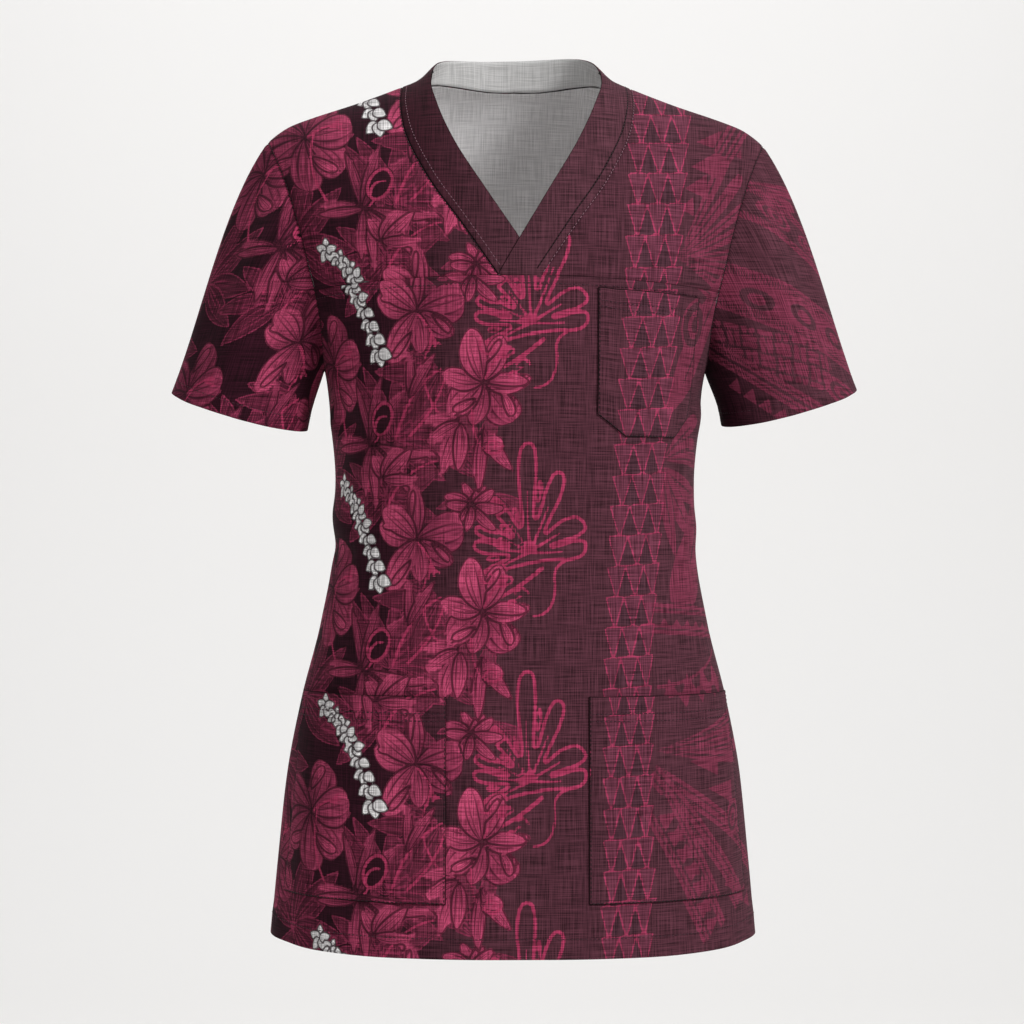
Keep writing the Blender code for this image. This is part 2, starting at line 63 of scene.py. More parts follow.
# form of the top, in metres: the same sizes and formulas as the solids, on finer grids
body = {"hem": -0.686, "hemDepth": 0.015, "hemLift": 0.0040, "hemLiftPower": 6,
        "underarm": -0.243, "crown": 0.0137, "power": 2.20, "softHeight": 0.0266,
        "softSlope": 0.4514, "softRound": 0.050, "softFrom": 0.40, "softUntil": 0.90}
shoulderRoll = {front: (0.30, 2.0), back: (0.45, 2.3)}        # share of the height, exponent
torsoColumns = ("level", "halfWidth", "frontDepth", "backDepth")
torsoSections = (
    (-0.686, 0.1900, 0.128, 0.124),
    (-0.620, 0.1840, 0.125, 0.126),
    (-0.560, 0.1778, 0.120, 0.124),
    (-0.500, 0.1665, 0.113, 0.114),
    (-0.440, 0.1515, 0.107, 0.100),
    (-0.380, 0.1418, 0.105, 0.092),
    (-0.330, 0.1406, 0.110, 0.094),
    (-0.285, 0.1444, 0.119, 0.101),
    (-0.243, 0.1495, 0.125, 0.108),
    (-0.200, 0.1590, 0.123, 0.114),
    (-0.150, 0.1745, 0.117, 0.119),
    (-0.100, 0.1885, 0.107, 0.122),
    (-0.050, 0.2000, 0.096, 0.122),
    (0.0137, 0.2100, 0.086, 0.121))
ridgeColumns = ("reach", "height")
shoulderRidge = (
    (0.0000, 0.0040), (0.0400, 0.0000), (0.0550, -0.0035), (0.0655, -0.0073), (0.0758, -0.0153),
    (0.0895, -0.0212), (0.1234, -0.0340), (0.1615, -0.0466), (0.1769, -0.0526), (0.1863, -0.0585),
    (0.1950, -0.0658), (0.2150, -0.0850))
armholeColumns = ("share", "frontReach", "backReach")
armhole = (
    (0.00, 0.1495, 0.1495), (0.15, 0.1510, 0.1525), (0.26, 0.1545, 0.1570), (0.38, 0.1600, 0.1630),
    (0.55, 0.1680, 0.1715), (0.73, 0.1780, 0.1810), (1.00, 0.1950, 0.1950))
neckColumns = ("share", "innerReach", "innerHeight", "seamReach", "seamHeight")
neckEdges = (
    (0.00, 0.0655, -0.0073, 0.0895, -0.0212), (0.10, 0.0655, -0.0194, 0.0900, -0.0340),
    (0.25, 0.0595, -0.0390, 0.0870, -0.0565), (0.50, 0.0447, -0.0720, 0.0680, -0.0995),
    (0.75, 0.0225, -0.1105, 0.0423, -0.1375), (1.00, 0.0000, -0.1490, 0.0160, -0.1770))
neckBow = {"innerReach": 0.0040, "seamReach": 0.0014}
backNeck = {"seam": -0.0140, "round": 1.5, "topDepth": 0.0645, "topHeight": 0.0105, "wave": 0.0016,
            "topRound": 2.4, "scoopBase": 0.30}
yoke = {"seam": -0.1775, "droop": 0.0075, "share": 0.27}

# soft folds of the body: each is a line from one place to another, as turn round the body in degrees
# (0 centre front, 90 wearer's left, 180 centre back) and level, twice, with its half width and rise
bodyFolds = (
    (-84, -0.262, -48, -0.300, 0.013, -0.0020),
    (-80, -0.285, -52, -0.322, 0.012, 0.0014),
    (84, -0.258, 55, -0.292, 0.012, -0.0016),
    (82, -0.280, 60, -0.312, 0.011, 0.0012),
    (-96, -0.352, -58, -0.372, 0.012, 0.0018),
    (-92, -0.380, -62, -0.388, 0.010, -0.0015),
    (96, -0.360, 64, -0.376, 0.012, 0.0014),
    (-74, -0.560, -66, -0.695, 0.022, -0.0022),
    (74, -0.580, 68, -0.695, 0.024, -0.0018),
    (-28, -0.610, -32, -0.695, 0.020, 0.0012),
    (30, -0.620, 33, -0.695, 0.022, 0.0012),
    (0, -0.560, 2, -0.695, 0.024, -0.0014),
    (108, -0.345, 158, -0.362, 0.013, 0.0030),
    (112, -0.372, 172, -0.392, 0.012, -0.0028),
    (118, -0.398, 166, -0.414, 0.013, 0.0024),
    (252, -0.340, 206, -0.366, 0.013, 0.0030),
    (248, -0.368, 196, -0.386, 0.012, -0.0026),
    (243, -0.398, 204, -0.418, 0.013, 0.0022),
    (128, -0.120, 140, -0.260, 0.016, -0.0026),
    (120, -0.150, 131, -0.270, 0.013, 0.0020),
    (232, -0.115, 221, -0.255, 0.016, -0.0026),
    (241, -0.150, 229, -0.265, 0.013, 0.0018),
    (146, -0.560, 143, -0.695, 0.024, 0.0030),
    (128, -0.580, 126, -0.695, 0.020, -0.0026),
    (212, -0.550, 216, -0.695, 0.024, 0.0030),
    (236, -0.590, 238, -0.695, 0.020, -0.0024),
    (180, -0.585, 179, -0.695, 0.026, -0.0022))
foldRadius = 0.155            # metres of cloth for each radian of turn
foldFade = (0.55, 0.95)       # shares of the height above the underarm between which they end


# one named column of a table at any place, by monotone cubic pieces between its rows
def column(columns, rows, name, at):
    at = np.asarray(at, float)
    key = np.array([row[0] for row in rows])
    value = np.array([row[columns.index(name)] for row in rows])
    step = np.diff(key)
    slope = np.diff(value) / step
    sameWay = slope[:-1] * slope[1:] > 0
    total = np.where(sameWay, slope[:-1] + slope[1:], 1)
    mean = np.where(sameWay, 2 * slope[:-1] * slope[1:] / total, 0)
    tangent = np.concatenate([slope[:1], mean, slope[-1:]])
    at = np.clip(at, key[0], key[-1])
    i = np.clip(np.searchsorted(key, at, side="right") - 1, 0, len(step) - 1)
    t = (at - key[i]) / step[i]
    return (value[i] * (1 + 2 * t) * (1 - t) ** 2 + value[i + 1] * t * t * (3 - 2 * t)
            + step[i] * (tangent[i] * t * (1 - t) ** 2 - tangent[i + 1] * t * t * (1 - t)))


# eases from 0 to 1 between two places: 3 t squared minus 2 t cubed
def ease(low, high, at):
    t = np.clip((at - low) / (high - low), 0, 1)
    return t * t * (3 - 2 * t)


# vectors divided by their own lengths
def unit(vectors):
    return vectors / np.maximum(np.linalg.norm(vectors, axis=-1, keepdims=True), 1e-12)


# half width of the torso at a level, from its table
def halfWidth(level):
    return column(torsoColumns, torsoSections, "halfWidth", level)


# share of the way from underarm to shoulder line
def shareUp(level):
    return np.clip((level - body["underarm"]) / (body["crown"] - body["underarm"]), 0, 1)


# level at such a share
def levelAt(share):
    return body["underarm"] + share * (body["crown"] - body["underarm"])


# height of the shoulder line this far out, from its table
def ridge(reach):
    return column(ridgeColumns, shoulderRidge, "height", np.abs(reach))


# shoulder line as the back follows it: a soft hyperbola that turns into the true line
def backRidge(reach, share):
    soft = body["softHeight"] - body["softSlope"] * np.hypot(reach, body["softRound"])
    return soft + (ridge(reach) - soft) * ease(body["softFrom"], body["softUntil"], share)


# angle from the middle of front or back at which the form is this far out
def angleTo(reach, level):
    ratio = np.clip(np.abs(reach) / halfWidth(level), 0, 1)
    return np.sign(reach) * np.arcsin(ratio ** (body["power"] / 2))


# level whose line passes through this reach and height
def levelOf(reach, height):
    share = (height - body["underarm"]) / (ridge(reach) - body["underarm"])
    return np.where(height > body["underarm"], levelAt(share), height)


# sum over the folds of rise times a bell of the distance to the fold's line
def foldRelief(angle, level, side):
    turn = np.degrees(angle) if side == front else 180 - np.degrees(angle)
    relief = np.zeros(np.broadcast(turn, level).shape)
    for turn0, level0, turn1, level1, width, rise in bodyFolds:
        run = np.array([np.radians(turn1 - turn0) * foldRadius, level1 - level0])
        for wrap in (-360, 0, 360):
            along = np.radians(turn + wrap - turn0) * foldRadius
            down = level - level0
            t = np.clip((along * run[0] + down * run[1]) / (run @ run), 0, 1)
            apart = (along - t * run[0]) ** 2 + (down - t * run[1]) ** 2
            relief += rise * np.exp(-apart / width ** 2)
    return relief * (1 - ease(*foldFade, shareUp(level)))


# point of the torso: a rounded section, wide as the table says, whose depth closes on the
# shoulder line; raised is added to its half width and depth
def torso(angle, level, side, raised=0.0):
    angle, level = np.broadcast_arrays(np.asarray(angle, float), np.asarray(level, float))
    nearHem = np.clip((body["hem"] + 2 * body["hemDepth"] - level) / body["hemDepth"], 0, 1)
    depthName = "frontDepth" if side == front else "backDepth"
    depth = column(torsoColumns, torsoSections, depthName, level) + raised
    start, power = shoulderRoll[side]
    share = shareUp(level)
    roll = (1 - np.clip((share - start) / (1 - start), 0, 1) ** power) ** (1 / power)
    sine, cosine = np.sin(angle), np.clip(np.cos(angle), 0, 1)
    x = (halfWidth(level) + raised) * np.sign(sine) * np.abs(sine) ** (2 / body["power"])
    y = side * depth * roll * cosine ** (2 / body["power"])
    line = ridge(x) if side == front else backRidge(x, share)
    above = body["underarm"] + (line + raised - body["underarm"]) * share
    lift = body["hemLift"] * nearHem * sine ** body["hemLiftPower"]
    return np.stack([x, y, np.where(level > body["underarm"], above, level + lift)], axis=-1)


# the torso with its soft folds
def foldedTorso(angle, level, side, raised=0.0):
    return torso(angle, level, side, raised + foldRelief(angle, level, side))


# width of cloth from the middle to this angle: the torso's section, measured in short chords
def clothAcross(angle, level, side, chords=14):
    steps = np.linspace(0, 1, chords + 1).reshape((-1,) + (1,) * np.ndim(angle))
    run = torso(steps * angle, np.broadcast_to(level, np.shape(angle)), side)[..., :2]
    return np.sign(angle) * np.linalg.norm(np.diff(run, axis=0), axis=-1).sum(axis=0)


# angle of the armhole's edge at a share of its height, from its table
def armholeAngle(share, side):
    name = "frontReach" if side == front else "backReach"
    return angleTo(column(armholeColumns, armhole, name, share), levelAt(share))


armReachAtSeam = column(armholeColumns, armhole, "frontReach", yoke["share"])
seamShare = shareUp(levelOf(armReachAtSeam, yoke["seam"] - yoke["droop"]))


# the seam across the chest droops as the square of the reach
def yokeSeamHeight(reach):
    return yoke["seam"] - yoke["droop"] * (reach / armReachAtSeam) ** 2


# an edge of the neckband; on the wearer's right it bows out by a half sine
def neck(name, share, hand=1):
    bow = neckBow.get(name, 0) if hand < 0 else 0
    return column(neckColumns, neckEdges, name, share) + bow * np.sin(np.pi * np.asarray(share))


# places from 0 to 1 along a run of cloth: close steps at the ends that ask for them, even ones
# between, as many in all as the inner skin can share
def places(length, spacing, startClose=True, endClose=True):
    close = np.array(cloth["edgeSteps"]) / length
    start = close if startClose else close[:1]
    end = 1 - close[::-1] if endClose else 1 - close[:1]
    count = int(np.ceil((end[0] - start[-1]) * length / spacing))
    count += -(count + len(start) + len(end) - 2) % innerStep
    even = np.linspace(start[-1], end[0], count + 1)
    return np.concatenate([start[:-1], even, end[1:]])


# unit normals of a grid: cross product of its two directions, turned to face outwards
def gridNormals(grid, ring=False, middle=(0.0, 0.0, 0.0)):
    if ring:
        across = np.roll(grid, -1, axis=1) - np.roll(grid, 1, axis=1)
    else:
        across = np.gradient(grid, axis=1)
    normal = unit(np.cross(np.gradient(grid, axis=0), across))
    away = (normal[..., :2] * (grid - np.asarray(middle))[..., :2]).sum()
    return normal if away > 0 else -normal


# distance over the cloth from each named side of a grid
def fromSides(grid, sides):
    along = np.linalg.norm(np.diff(grid, axis=0), axis=-1)
    across = np.linalg.norm(np.diff(grid, axis=1), axis=-1)
    down = np.pad(np.cumsum(along, axis=0), ((1, 0), (0, 0)))
    over = np.pad(np.cumsum(across, axis=1), ((0, 0), (1, 0)))
    apart = {"first": down, "last": down[-1:] - down, "left": over, "right": over[:, -1:] - over}
    return np.min([apart[side] for side in sides], axis=0)


# at a seam the cloth turns in: a bell of the distance from the seam, along the normal
def turnIn(grid, normal, sides, dip=None):
    near = np.exp(-(fromSides(grid, sides) / cloth["seamReach"]) ** 2)
    return grid - ((cloth["seamDip"] if dip is None else dip) * near)[..., None] * normal


# a piece with its mesh and finishes, at the origin
def addPiece(name, points, faces, materials):
    mesh = bpy.data.meshes.new(name)
    mesh.from_pydata(points, [], faces)
    for material in materials:
        mesh.materials.append(material)
    mesh.shade_smooth()
    piece = bpy.data.objects.new(name, mesh)
    bpy.context.scene.collection.objects.link(piece)
    return piece


# closed thin shell: an outer grid, the same grid moved in by the wall and thinned out, and a rim.
# Each inner cell is walked round its border and keeps the points that are there. Along the turned
# sides the cloth is folded in, so there the inner skin shows the outer face of the cloth
def clothShell(name, outer, normal, wall, fabric, marks, materials, ring=False, turned=()):
    rows, columns = outer.shape[:2]
    wide = columns if ring else columns - 1
    number = np.arange(rows * columns).reshape(rows, columns)
    i, j = np.mgrid[0:rows, 0:columns]
    keep = (i % innerStep == 0) & (j % innerStep == 0) | (i == 0) | (i == rows - 1)
    if not ring:
        keep |= (j == 0) | (j == columns - 1)
    inner = (outer - wall * normal)[keep]
    innerNumber = np.full(rows * columns, -1)
    innerNumber[keep.ravel()] = rows * columns + np.arange(len(inner))
    cellI, cellJ = np.mgrid[0:rows - 1, 0:wide]
    quads = np.stack([number[cellI, cellJ], number[cellI, (cellJ + 1) % columns],
                      number[cellI + 1, (cellJ + 1) % columns], number[cellI + 1, cellJ]], axis=-1)
    quads = quads.reshape(-1, 4)
    k = np.arange(innerStep)
    walkI = np.concatenate([0 * k, k, 0 * k + innerStep, innerStep - k])
    walkJ = np.concatenate([k, 0 * k + innerStep, innerStep - k, 0 * k])
    coarseI, coarseJ = np.mgrid[0:rows - 1:innerStep, 0:wide:innerStep]
    walk = innerNumber[number[coarseI.reshape(-1, 1) + walkI,
                              (coarseJ.reshape(-1, 1) + walkJ) % columns]]
    innerFaces = [cell[cell >= 0][::-1].tolist() for cell in walk]
    if ring:
        loops = [np.append(number[0], number[0, 0]), np.append(number[-1], number[-1, 0])[::-1]]
    else:
        loops = [np.concatenate([number[0], number[1:, -1], number[-1, -2::-1],
                                 number[-2::-1, 0]])]
    rim = np.concatenate([np.stack([loop[1:], loop[:-1], innerNumber[loop[:-1]],
                                    innerNumber[loop[1:]]], axis=-1) for loop in loops])
    first = outer[1, 0] - outer[0, 0], outer[0, 1] - outer[0, 0]
    if np.dot(np.cross(first[1], first[0]), normal[0, 0]) < 0:
        quads, rim = quads[:, ::-1], rim[:, ::-1]
        innerFaces = [cell[::-1] for cell in innerFaces]
    points = np.concatenate([outer.reshape(-1, 3), inner])
    piece = addPiece(name, points.tolist(), quads.tolist() + rim.tolist() + innerFaces, materials)
    mesh = piece.data
    if len(materials) > 1:
        inside = np.ones(coarseI.shape, np.int32)
        for side, strip in (("first", np.s_[:1]), ("last", np.s_[-1:]), ("left", np.s_[:, :1]),
                            ("right", np.s_[:, -1:])):
            if side in turned and not (ring and side in ("left", "right")):
                inside[strip] = 0
        slots = np.concatenate([np.zeros(len(quads) + len(rim), np.int32), inside.ravel()])
        mesh.polygons.foreach_set("material_index", slots)
    vectors = dict(marks, fabric=fabric)
    for key, value in vectors.items():
        flat = value.reshape(rows * columns, -1)
        whole = np.concatenate([flat, flat[keep.ravel()]])
        whole = np.pad(whole, ((0, 0), (0, 3 - whole.shape[1])))
        mesh.attributes.new(key, "FLOAT_VECTOR", "POINT").data.foreach_set("vector", whole.ravel())
    return piece


# sRGB hex to linear: each channel above 0.04045 is ((c + 0.055) / 1.055) to the power 2.4
def hexToLinear(code):
    channels = np.array([int(code[k:k + 2], 16) / 255 for k in (1, 3, 5)])
    linear = np.where(channels > 0.04045, ((channels + 0.055) / 1.055) ** 2.4, channels / 12.92)
    return (*linear.tolist(), 1.0)


# a new finish, with its node tree and its shader
def newFinish(name):
    material = bpy.data.materials.new(name)
    material.use_nodes = True
    return material, material.node_tree, material.node_tree.nodes["Principled BSDF"]


# adds a node with its settings; an input's value may be another node's output, and is then linked
def addNode(tree, kind, inputs=None, **settings):
    node = tree.nodes.new(kind)
    for key, value in settings.items():
        setattr(node, key, value)
    for key, value in (inputs or {}).items():
        if isinstance(value, bpy.types.NodeSocket):
            tree.links.new(value, node.inputs[key])
        else:
            node.inputs[key].default_value = value
    return node


# even steps of cloth between two shares of the height: the cloth's length is measured at one
# reach, on steps that close up towards the top as a sine does
def evenShares(low, high, q, reach, side, steps=500):
    dense = low + (high - low) * np.sin(np.linspace(0, np.pi / 2, steps))
    run = torso(angleTo(reach, levelAt(dense)), levelAt(dense), side)
    length = np.pad(np.cumsum(np.linalg.norm(np.diff(run, axis=0), axis=-1)), (1, 0))
    return np.interp(q, length / length[-1], dense)


# lower front: cut in metres, print in millimetres, spacing of its grid, width that its columns
# share, how they crowd where the garland lies (share more, place and half width as shares of the
# half front), and how far the stitches lie under the chest seam
frontBody = {"flat": (0.513, 0.528), "area": 0.223, "slot": "printed_cloth", "print": {},
             "spacing": 0.00174, "width": 0.50, "crowd": 0.55, "crowdAt": -0.56, "crowdReach": 0.15,
             "chestRow": 0.0062}


# a row of the front runs straight round below the underarm, and from armhole to armhole above it;
# columns are closer under a bell where the garland lies
def frontGrid(spacing):
    across = 2 * places(frontBody["width"], spacing) - 1
    dense = np.linspace(-1, 1, 2000)
    bell = np.exp(-((dense - frontBody["crowdAt"]) / frontBody["crowdReach"]) ** 2)
    crowd = np.cumsum(1 + frontBody["crowd"] * bell)
    crowd = 2 * (crowd - crowd[0]) / (crowd[-1] - crowd[0]) - 1
    across = np.interp(across, crowd, dense)
    low = body["hem"] + (body["underarm"] - body["hem"]) * places(
        body["underarm"] - body["hem"], spacing, True, False)[:, None]
    q = places(yoke["seam"] - body["underarm"], spacing, False, True)[1:, None]
    share = q * seamShare
    reach = torso(across * armholeAngle(share, front), levelAt(share), front)[..., 0]
    top = levelOf(reach[-1], yokeSeamHeight(reach[-1]))
    high = body["underarm"] + (top - body["underarm"]) * q
    level = np.concatenate([np.broadcast_to(low, (len(low), len(across))), high])
    angle = np.concatenate([np.broadcast_to(across * np.pi / 2, (len(low), len(across))),
                            angleTo(reach, high)])
    angle[len(low):, [0, -1]] = np.array([-1, 1]) * armholeAngle(share, front)
    return angle, level


# upper front: cut, print, spacing, height and width that the grid shares, reach where even steps
# are measured, and the share of the height where its rows have levelled out
frontYoke = {"flat": (0.180, 0.190), "area": 0.0221, "slot": "printed_cloth",
             "print": {"shift": (3, -8), "rows": (53.6, 24.7)}, "spacing": 0.0015,
             "height": 0.165, "width": 0.14, "measuredAt": 0.14, "levelFrom": 0.5}


# rows from the chest seam to the shoulder line, columns from the neckband to the armhole; the
# seam's droop fades out up the rows
def yokeGrid(hand, spacing):
    share = evenShares(seamShare, 1, places(frontYoke["height"], spacing),
                       frontYoke["measuredAt"], front)
    along = (1 - share) / (1 - seamShare)
    neckReach = neck("seamReach", along, hand)
    neckLevel = levelOf(neckReach, neck("seamHeight", along))
    armReach = column(armholeColumns, armhole, "frontReach", share)
    across = places(frontYoke["width"], spacing)[None, :]
    reach = neckReach[:, None] + (armReach - neckReach)[:, None] * across
    level = neckLevel[:, None] + (levelAt(share) - neckLevel)[:, None] * across
    droop = levelOf(reach[0], yokeSeamHeight(reach[0])) - level[0]
    level += droop * (1 - ease(seamShare, frontYoke["levelFrom"], share))[:, None]
    level[-1] = body["crown"]
    return hand * angleTo(reach, level), level


# back: cut, print, spacing, then the lengths that its grid shares: beside the neck, under half of
# it, and above the underarm; and the reach where even steps are measured
backBody = {"flat": (0.507, 0.715), "area": 0.297, "slot": "printed_cloth",
            "print": {"shift": (0, 60)}, "spacing": 0.0023, "beside": 0.17, "underNeck": 0.045,
            "height": 0.30, "measuredAt": 0.13}


# columns of the back as shares of the half width; one meets the corner of the neck. Under the neck
# they follow a sine, beside it even angles
def backColumns(underNeck, beside):
    corner = neck("seamReach", 0.0) / armhole[-1][2]
    cornerAngle = np.arcsin(corner ** (body["power"] / 2))
    under = corner * np.sin(np.linspace(0, np.pi / 2, underNeck + 1))
    angles = cornerAngle + (np.pi / 2 - cornerAngle) * beside[1:]
    half = np.concatenate([under, np.sin(angles) ** (2 / body["power"])])
    return np.concatenate([-half[:0:-1], half]), corner


# share of the height where the back ends: the shoulder line, or the scooped neck between corners
def backTopShare(columns, corner):
    scoop = 1 - (backNeck["seam"] - body["underarm"]) / (ridge(0.0) - body["underarm"])
    along = np.clip(np.abs(columns) / corner, 0, 1)
    return 1 - scoop * (1 - along ** 2) ** backNeck["round"]


# rows run straight round below the underarm; above it they are squeezed, more and more, under the
# shoulder line and the neck's scoop
def backGrid(spacing):
    beside = places(backBody["beside"], spacing, False, True)
    columns, corner = backColumns(2 * int(backBody["underNeck"] / spacing), beside)
    top = backTopShare(columns, corner)
    low = body["hem"] + (body["underarm"] - body["hem"]) * places(
        body["underarm"] - body["hem"], spacing, True, False)[:, None]
    share = evenShares(0, 1, places(backBody["height"], spacing, False, True)[1:],
                       backBody["measuredAt"], back)[:, None]
    squeeze = np.maximum(share - backNeck["scoopBase"], 0) / (1 - backNeck["scoopBase"])
    high = levelAt(share - (1 - top) * squeeze)
    level = np.concatenate([np.broadcast_to(low, (len(low), len(columns))), high])
    reach = columns * np.concatenate([halfWidth(low), column(armholeColumns, armhole, "backReach",
                                                             share)])
    return angleTo(reach, level), level


# halves of the neckband, in metres: spacing, width, length, the upper one's length past the middle
# and the width of its point, how far it sinks there; then shares of its width: what lies under the
# seam's other side, and where it is sewn down. Each half has its own cut
frontBand = {"spacing": 0.0014, "width": 0.029, "length": 0.19, "overlap": 0.036, "tip": 0.004,
             "sunk": 0.0008, "under": 0.026, "row": 0.17,
             "Right": {"flat": (0.037, 0.226), "area": 0.0068, "slot": "plain_cloth",
                       "print": {"parts": (), "shade": (-115, 20)}},
             "Left": {"flat": (0.038, 0.254), "area": 0.0076, "slot": "plain_cloth",
                      "print": {"parts": (), "shade": (-115, 20)}}}


# shares of the band's width, from under the seam to the free edge; one column lies on the seam and
# one on the row of stitches, so a line drawn along them stays thin
def bandShares(spacing):
    shares = places(frontBand["width"], spacing) * (1 + frontBand["under"]) - frontBand["under"]
    for at in (0.0, frontBand["row"]):
        shares[np.abs(shares - at).argmin()] = at
    return shares


# edges of a front half of the band, from the shoulder down; the upper one crosses the middle and
# ends in a point cut off by the chest seam. Between the edges reach and height run straight
def frontBandGrid(hand, over, spacing):
    along = places(frontBand["length"], spacing)
    edges = np.stack([neck(key, along, hand) for key in neckColumns[1:]], axis=-1)
    if over:
        tip = edges[-1]
        r = places(frontBand["overlap"], spacing, False, True)[1:]
        edges = np.vstack([edges, np.stack([
            -tip[2] * r, tip[1] + (tip[3] - tip[1]) * r,
            (1 - 2 * r) * tip[2] + r * frontBand["tip"], tip[3] + 0 * r], axis=-1)])
    t = bandShares(spacing)[None, :]
    edges[:, 3] -= np.where(np.arange(len(edges)) >= len(along) - 1, frontBand["sunk"], 0)
    reach = edges[:, 2, None] * (1 - t) + edges[:, 0, None] * t
    level = levelOf(reach, edges[:, 3, None] * (1 - t) + edges[:, 1, None] * t)
    level[0] = body["crown"]
    return hand * angleTo(reach, level), level


# back of the neckband: cut, print, spacing, width, how its ends turn in, the power by which they
# sink to the shoulder line, and the row of the grid that is stitched
backBand = {"flat": (0.025, 0.246), "area": 0.0057, "slot": "plain_cloth", "print": {"parts": ()},
            "spacing": 0.0014, "width": 0.028, "endDip": 0.0003, "sinkPower": 6, "stitchedRow": 5}


# back of the band: straight from the scooped seam up to its own rounded edge; at its ends it
# sinks to the shoulder line, where the front halves are sewn on
def backBandPoints(spacing):
    columns, corner = backColumns(4 * int(backBand["width"] / spacing), np.array([0.0, 1.0]))
    columns = columns[np.abs(columns) <= corner + 1e-9]
    level = levelAt(backTopShare(columns, corner))
    seam = torso(angleTo(columns * armhole[-1][2], level), level, back)
    turned = np.arcsin(np.clip(columns / corner, -1, 1))
    reach = neck("innerReach", 0.0)
    low, crest = ridge(reach), backNeck["topHeight"]
    power = 2 / backNeck["topRound"]
    cosine = np.clip(np.cos(turned), 0, 1)
    edge = np.stack([reach * np.sign(turned) * np.abs(np.sin(turned)) ** power,
                     backNeck["topDepth"] * cosine ** power,
                     low + (crest - low) * (1 - (1 - cosine) ** 2)
                     + backNeck["wave"] * np.sin(2 * turned) * cosine], axis=-1)
    t = places(backBand["width"], spacing)[:, None, None]
    points = seam * (1 - t) + edge * t
    ends = np.abs(points[:1, :, 0] / points[0, -1, 0]) ** backBand["sinkPower"]
    straight = seam[-1, 2] * (1 - t[..., 0]) + low * t[..., 0]
    points[..., 2] += ends * (ridge(points[:, -1:, 0]) - straight)
    return points


# sleeve: cut, spacing, the cuff's centre, lift on each side (-1 the wearer's right), half sizes in
# metres, slope and dip in degrees, depth of the cuff's hem; how the curves leave the armhole and
# reach the cuff, as shares; the round and the length that its grid shares, the step that finds the
# armhole's outward direction, and the angle in radians from seam to stitches. The print lies on a
# tube of this radius in millimetres, starting from printAt at the shoulder line
sleeve = {"flat": (0.400, 0.208), "area": 0.0465, "slot": "printed_cloth", "spacing": 0.0017,
          "centre": (0.2154, -0.004, -0.2733), "lift": {-1: -0.0025, 1: 0.0025},
          "halfWidth": 0.0551, "halfDepth": 0.0530, "slope": 15.5, "dip": 8.0, "cuff": 0.011,
          "cap": (0.34, 0.12), "fullness": 0.26, "start": 0.85, "end": 0.95, "flare": 0.077,
          "round": 0.40, "length": 0.22, "step": 0.0014, "stitchedBeside": 0.0075,
          "radius": 60, "printAt": {-1: -112, 1: 205},
          # painted shade: the wearer's right sleeve's ground is deep all over and its tones dimmed by strength; the
          # wearer's left one deepens towards the underarm
          "print": {-1: {"shift": (0, 20), "parts": ("flowers",), "shade": (60, 160),
                         "strength": 0.72},
                    1: {"shift": (0, 90), "parts": ("sleeveFigures",), "shade": (130, 215)}}}
# place round the arm in degrees from the shoulder line, front positive, half width in degrees,
# height, and share of the length where it is highest
sleeveFolds = (
    (38, 19, -0.0036, 0.45), (70, 13, 0.0034, 0.34), (92, 9, -0.0026, 0.30), (118, 15, -0.0040, 0.30),
    (-42, 20, -0.0028, 0.45), (-80, 17, 0.0024, 0.35), (-112, 17, -0.0024, 0.40))


# tube from the armhole to the cuff: a Hermite curve from each point of the armhole to its own
# point of the cuff's oval, moved by soft folds along its normal
def sleevePoints(hand, spacing):
    count = 4 * int(sleeve["round"] / spacing / 4)
    place = np.pi - np.arange(0, count) / count * 2 * np.pi
    share = (1 + np.cos(place)) / 2
    hole, inside = [np.where(
        (place >= 0)[:, None], torso(armholeAngle(share, front), levelAt(share), front, raised),
        torso(armholeAngle(share, back), levelAt(share), back, raised))
        for raised in (0.0, -sleeve["step"])]
    wall = unit(hole - inside)
    slope, dip = np.radians(sleeve["slope"]), np.radians(sleeve["dip"])
    axis = np.array([np.sin(slope), 0, -np.cos(slope)])
    sideways = np.array([np.cos(slope), 0, np.sin(slope)])
    forwards = np.array([0, -np.cos(dip), -np.sin(dip)])
    cosine, sine = np.cos(place)[:, None], np.sin(place)[:, None]
    centre = np.array(sleeve["centre"]) + (0, 0, sleeve["lift"][hand])
    cuff = centre + sleeve["halfWidth"] * cosine * sideways + sleeve["halfDepth"] * sine * forwards
    leaving = unit(axis + sleeve["flare"] * cosine * sideways)
    hemLine = cuff - sleeve["cuff"] * leaving
    top = (1 + cosine) / 2
    starting = unit(axis + np.concatenate([sleeve["cap"][0] * top, -sleeve["fullness"] * sine,
                                           sleeve["cap"][1] * top], axis=1))
    along = places(sleeve["length"], spacing, True, False)
    t = along[:, None, None]
    chord = np.linalg.norm(hemLine - hole, axis=1)[:, None]
    outer = (hole * (2 * t ** 3 - 3 * t ** 2 + 1) + hemLine * (3 * t ** 2 - 2 * t ** 3)
             + sleeve["start"] * chord * starting * (t ** 3 - 2 * t ** 2 + t)
             + sleeve["end"] * chord * leaving * (t ** 3 - t ** 2))
    middle = outer.mean(axis=1, keepdims=True)
    degrees = np.degrees(place)[None, :]
    relief = sum(rise * np.exp(-((degrees - at) / spread) ** 2) * along[:, None] / peak
                 * np.exp(1 - along[:, None] / peak) for at, spread, rise, peak in sleeveFolds)
    outer = outer + relief[..., None] * gridNormals(outer, True, middle)
    cuffRows = places(sleeve["cuff"], spacing, False, True)[1:, None, None]
    outer = np.concatenate([outer, outer[-1] * (1 - cuffRows) + cuff * cuffRows])
    return outer, wall, place


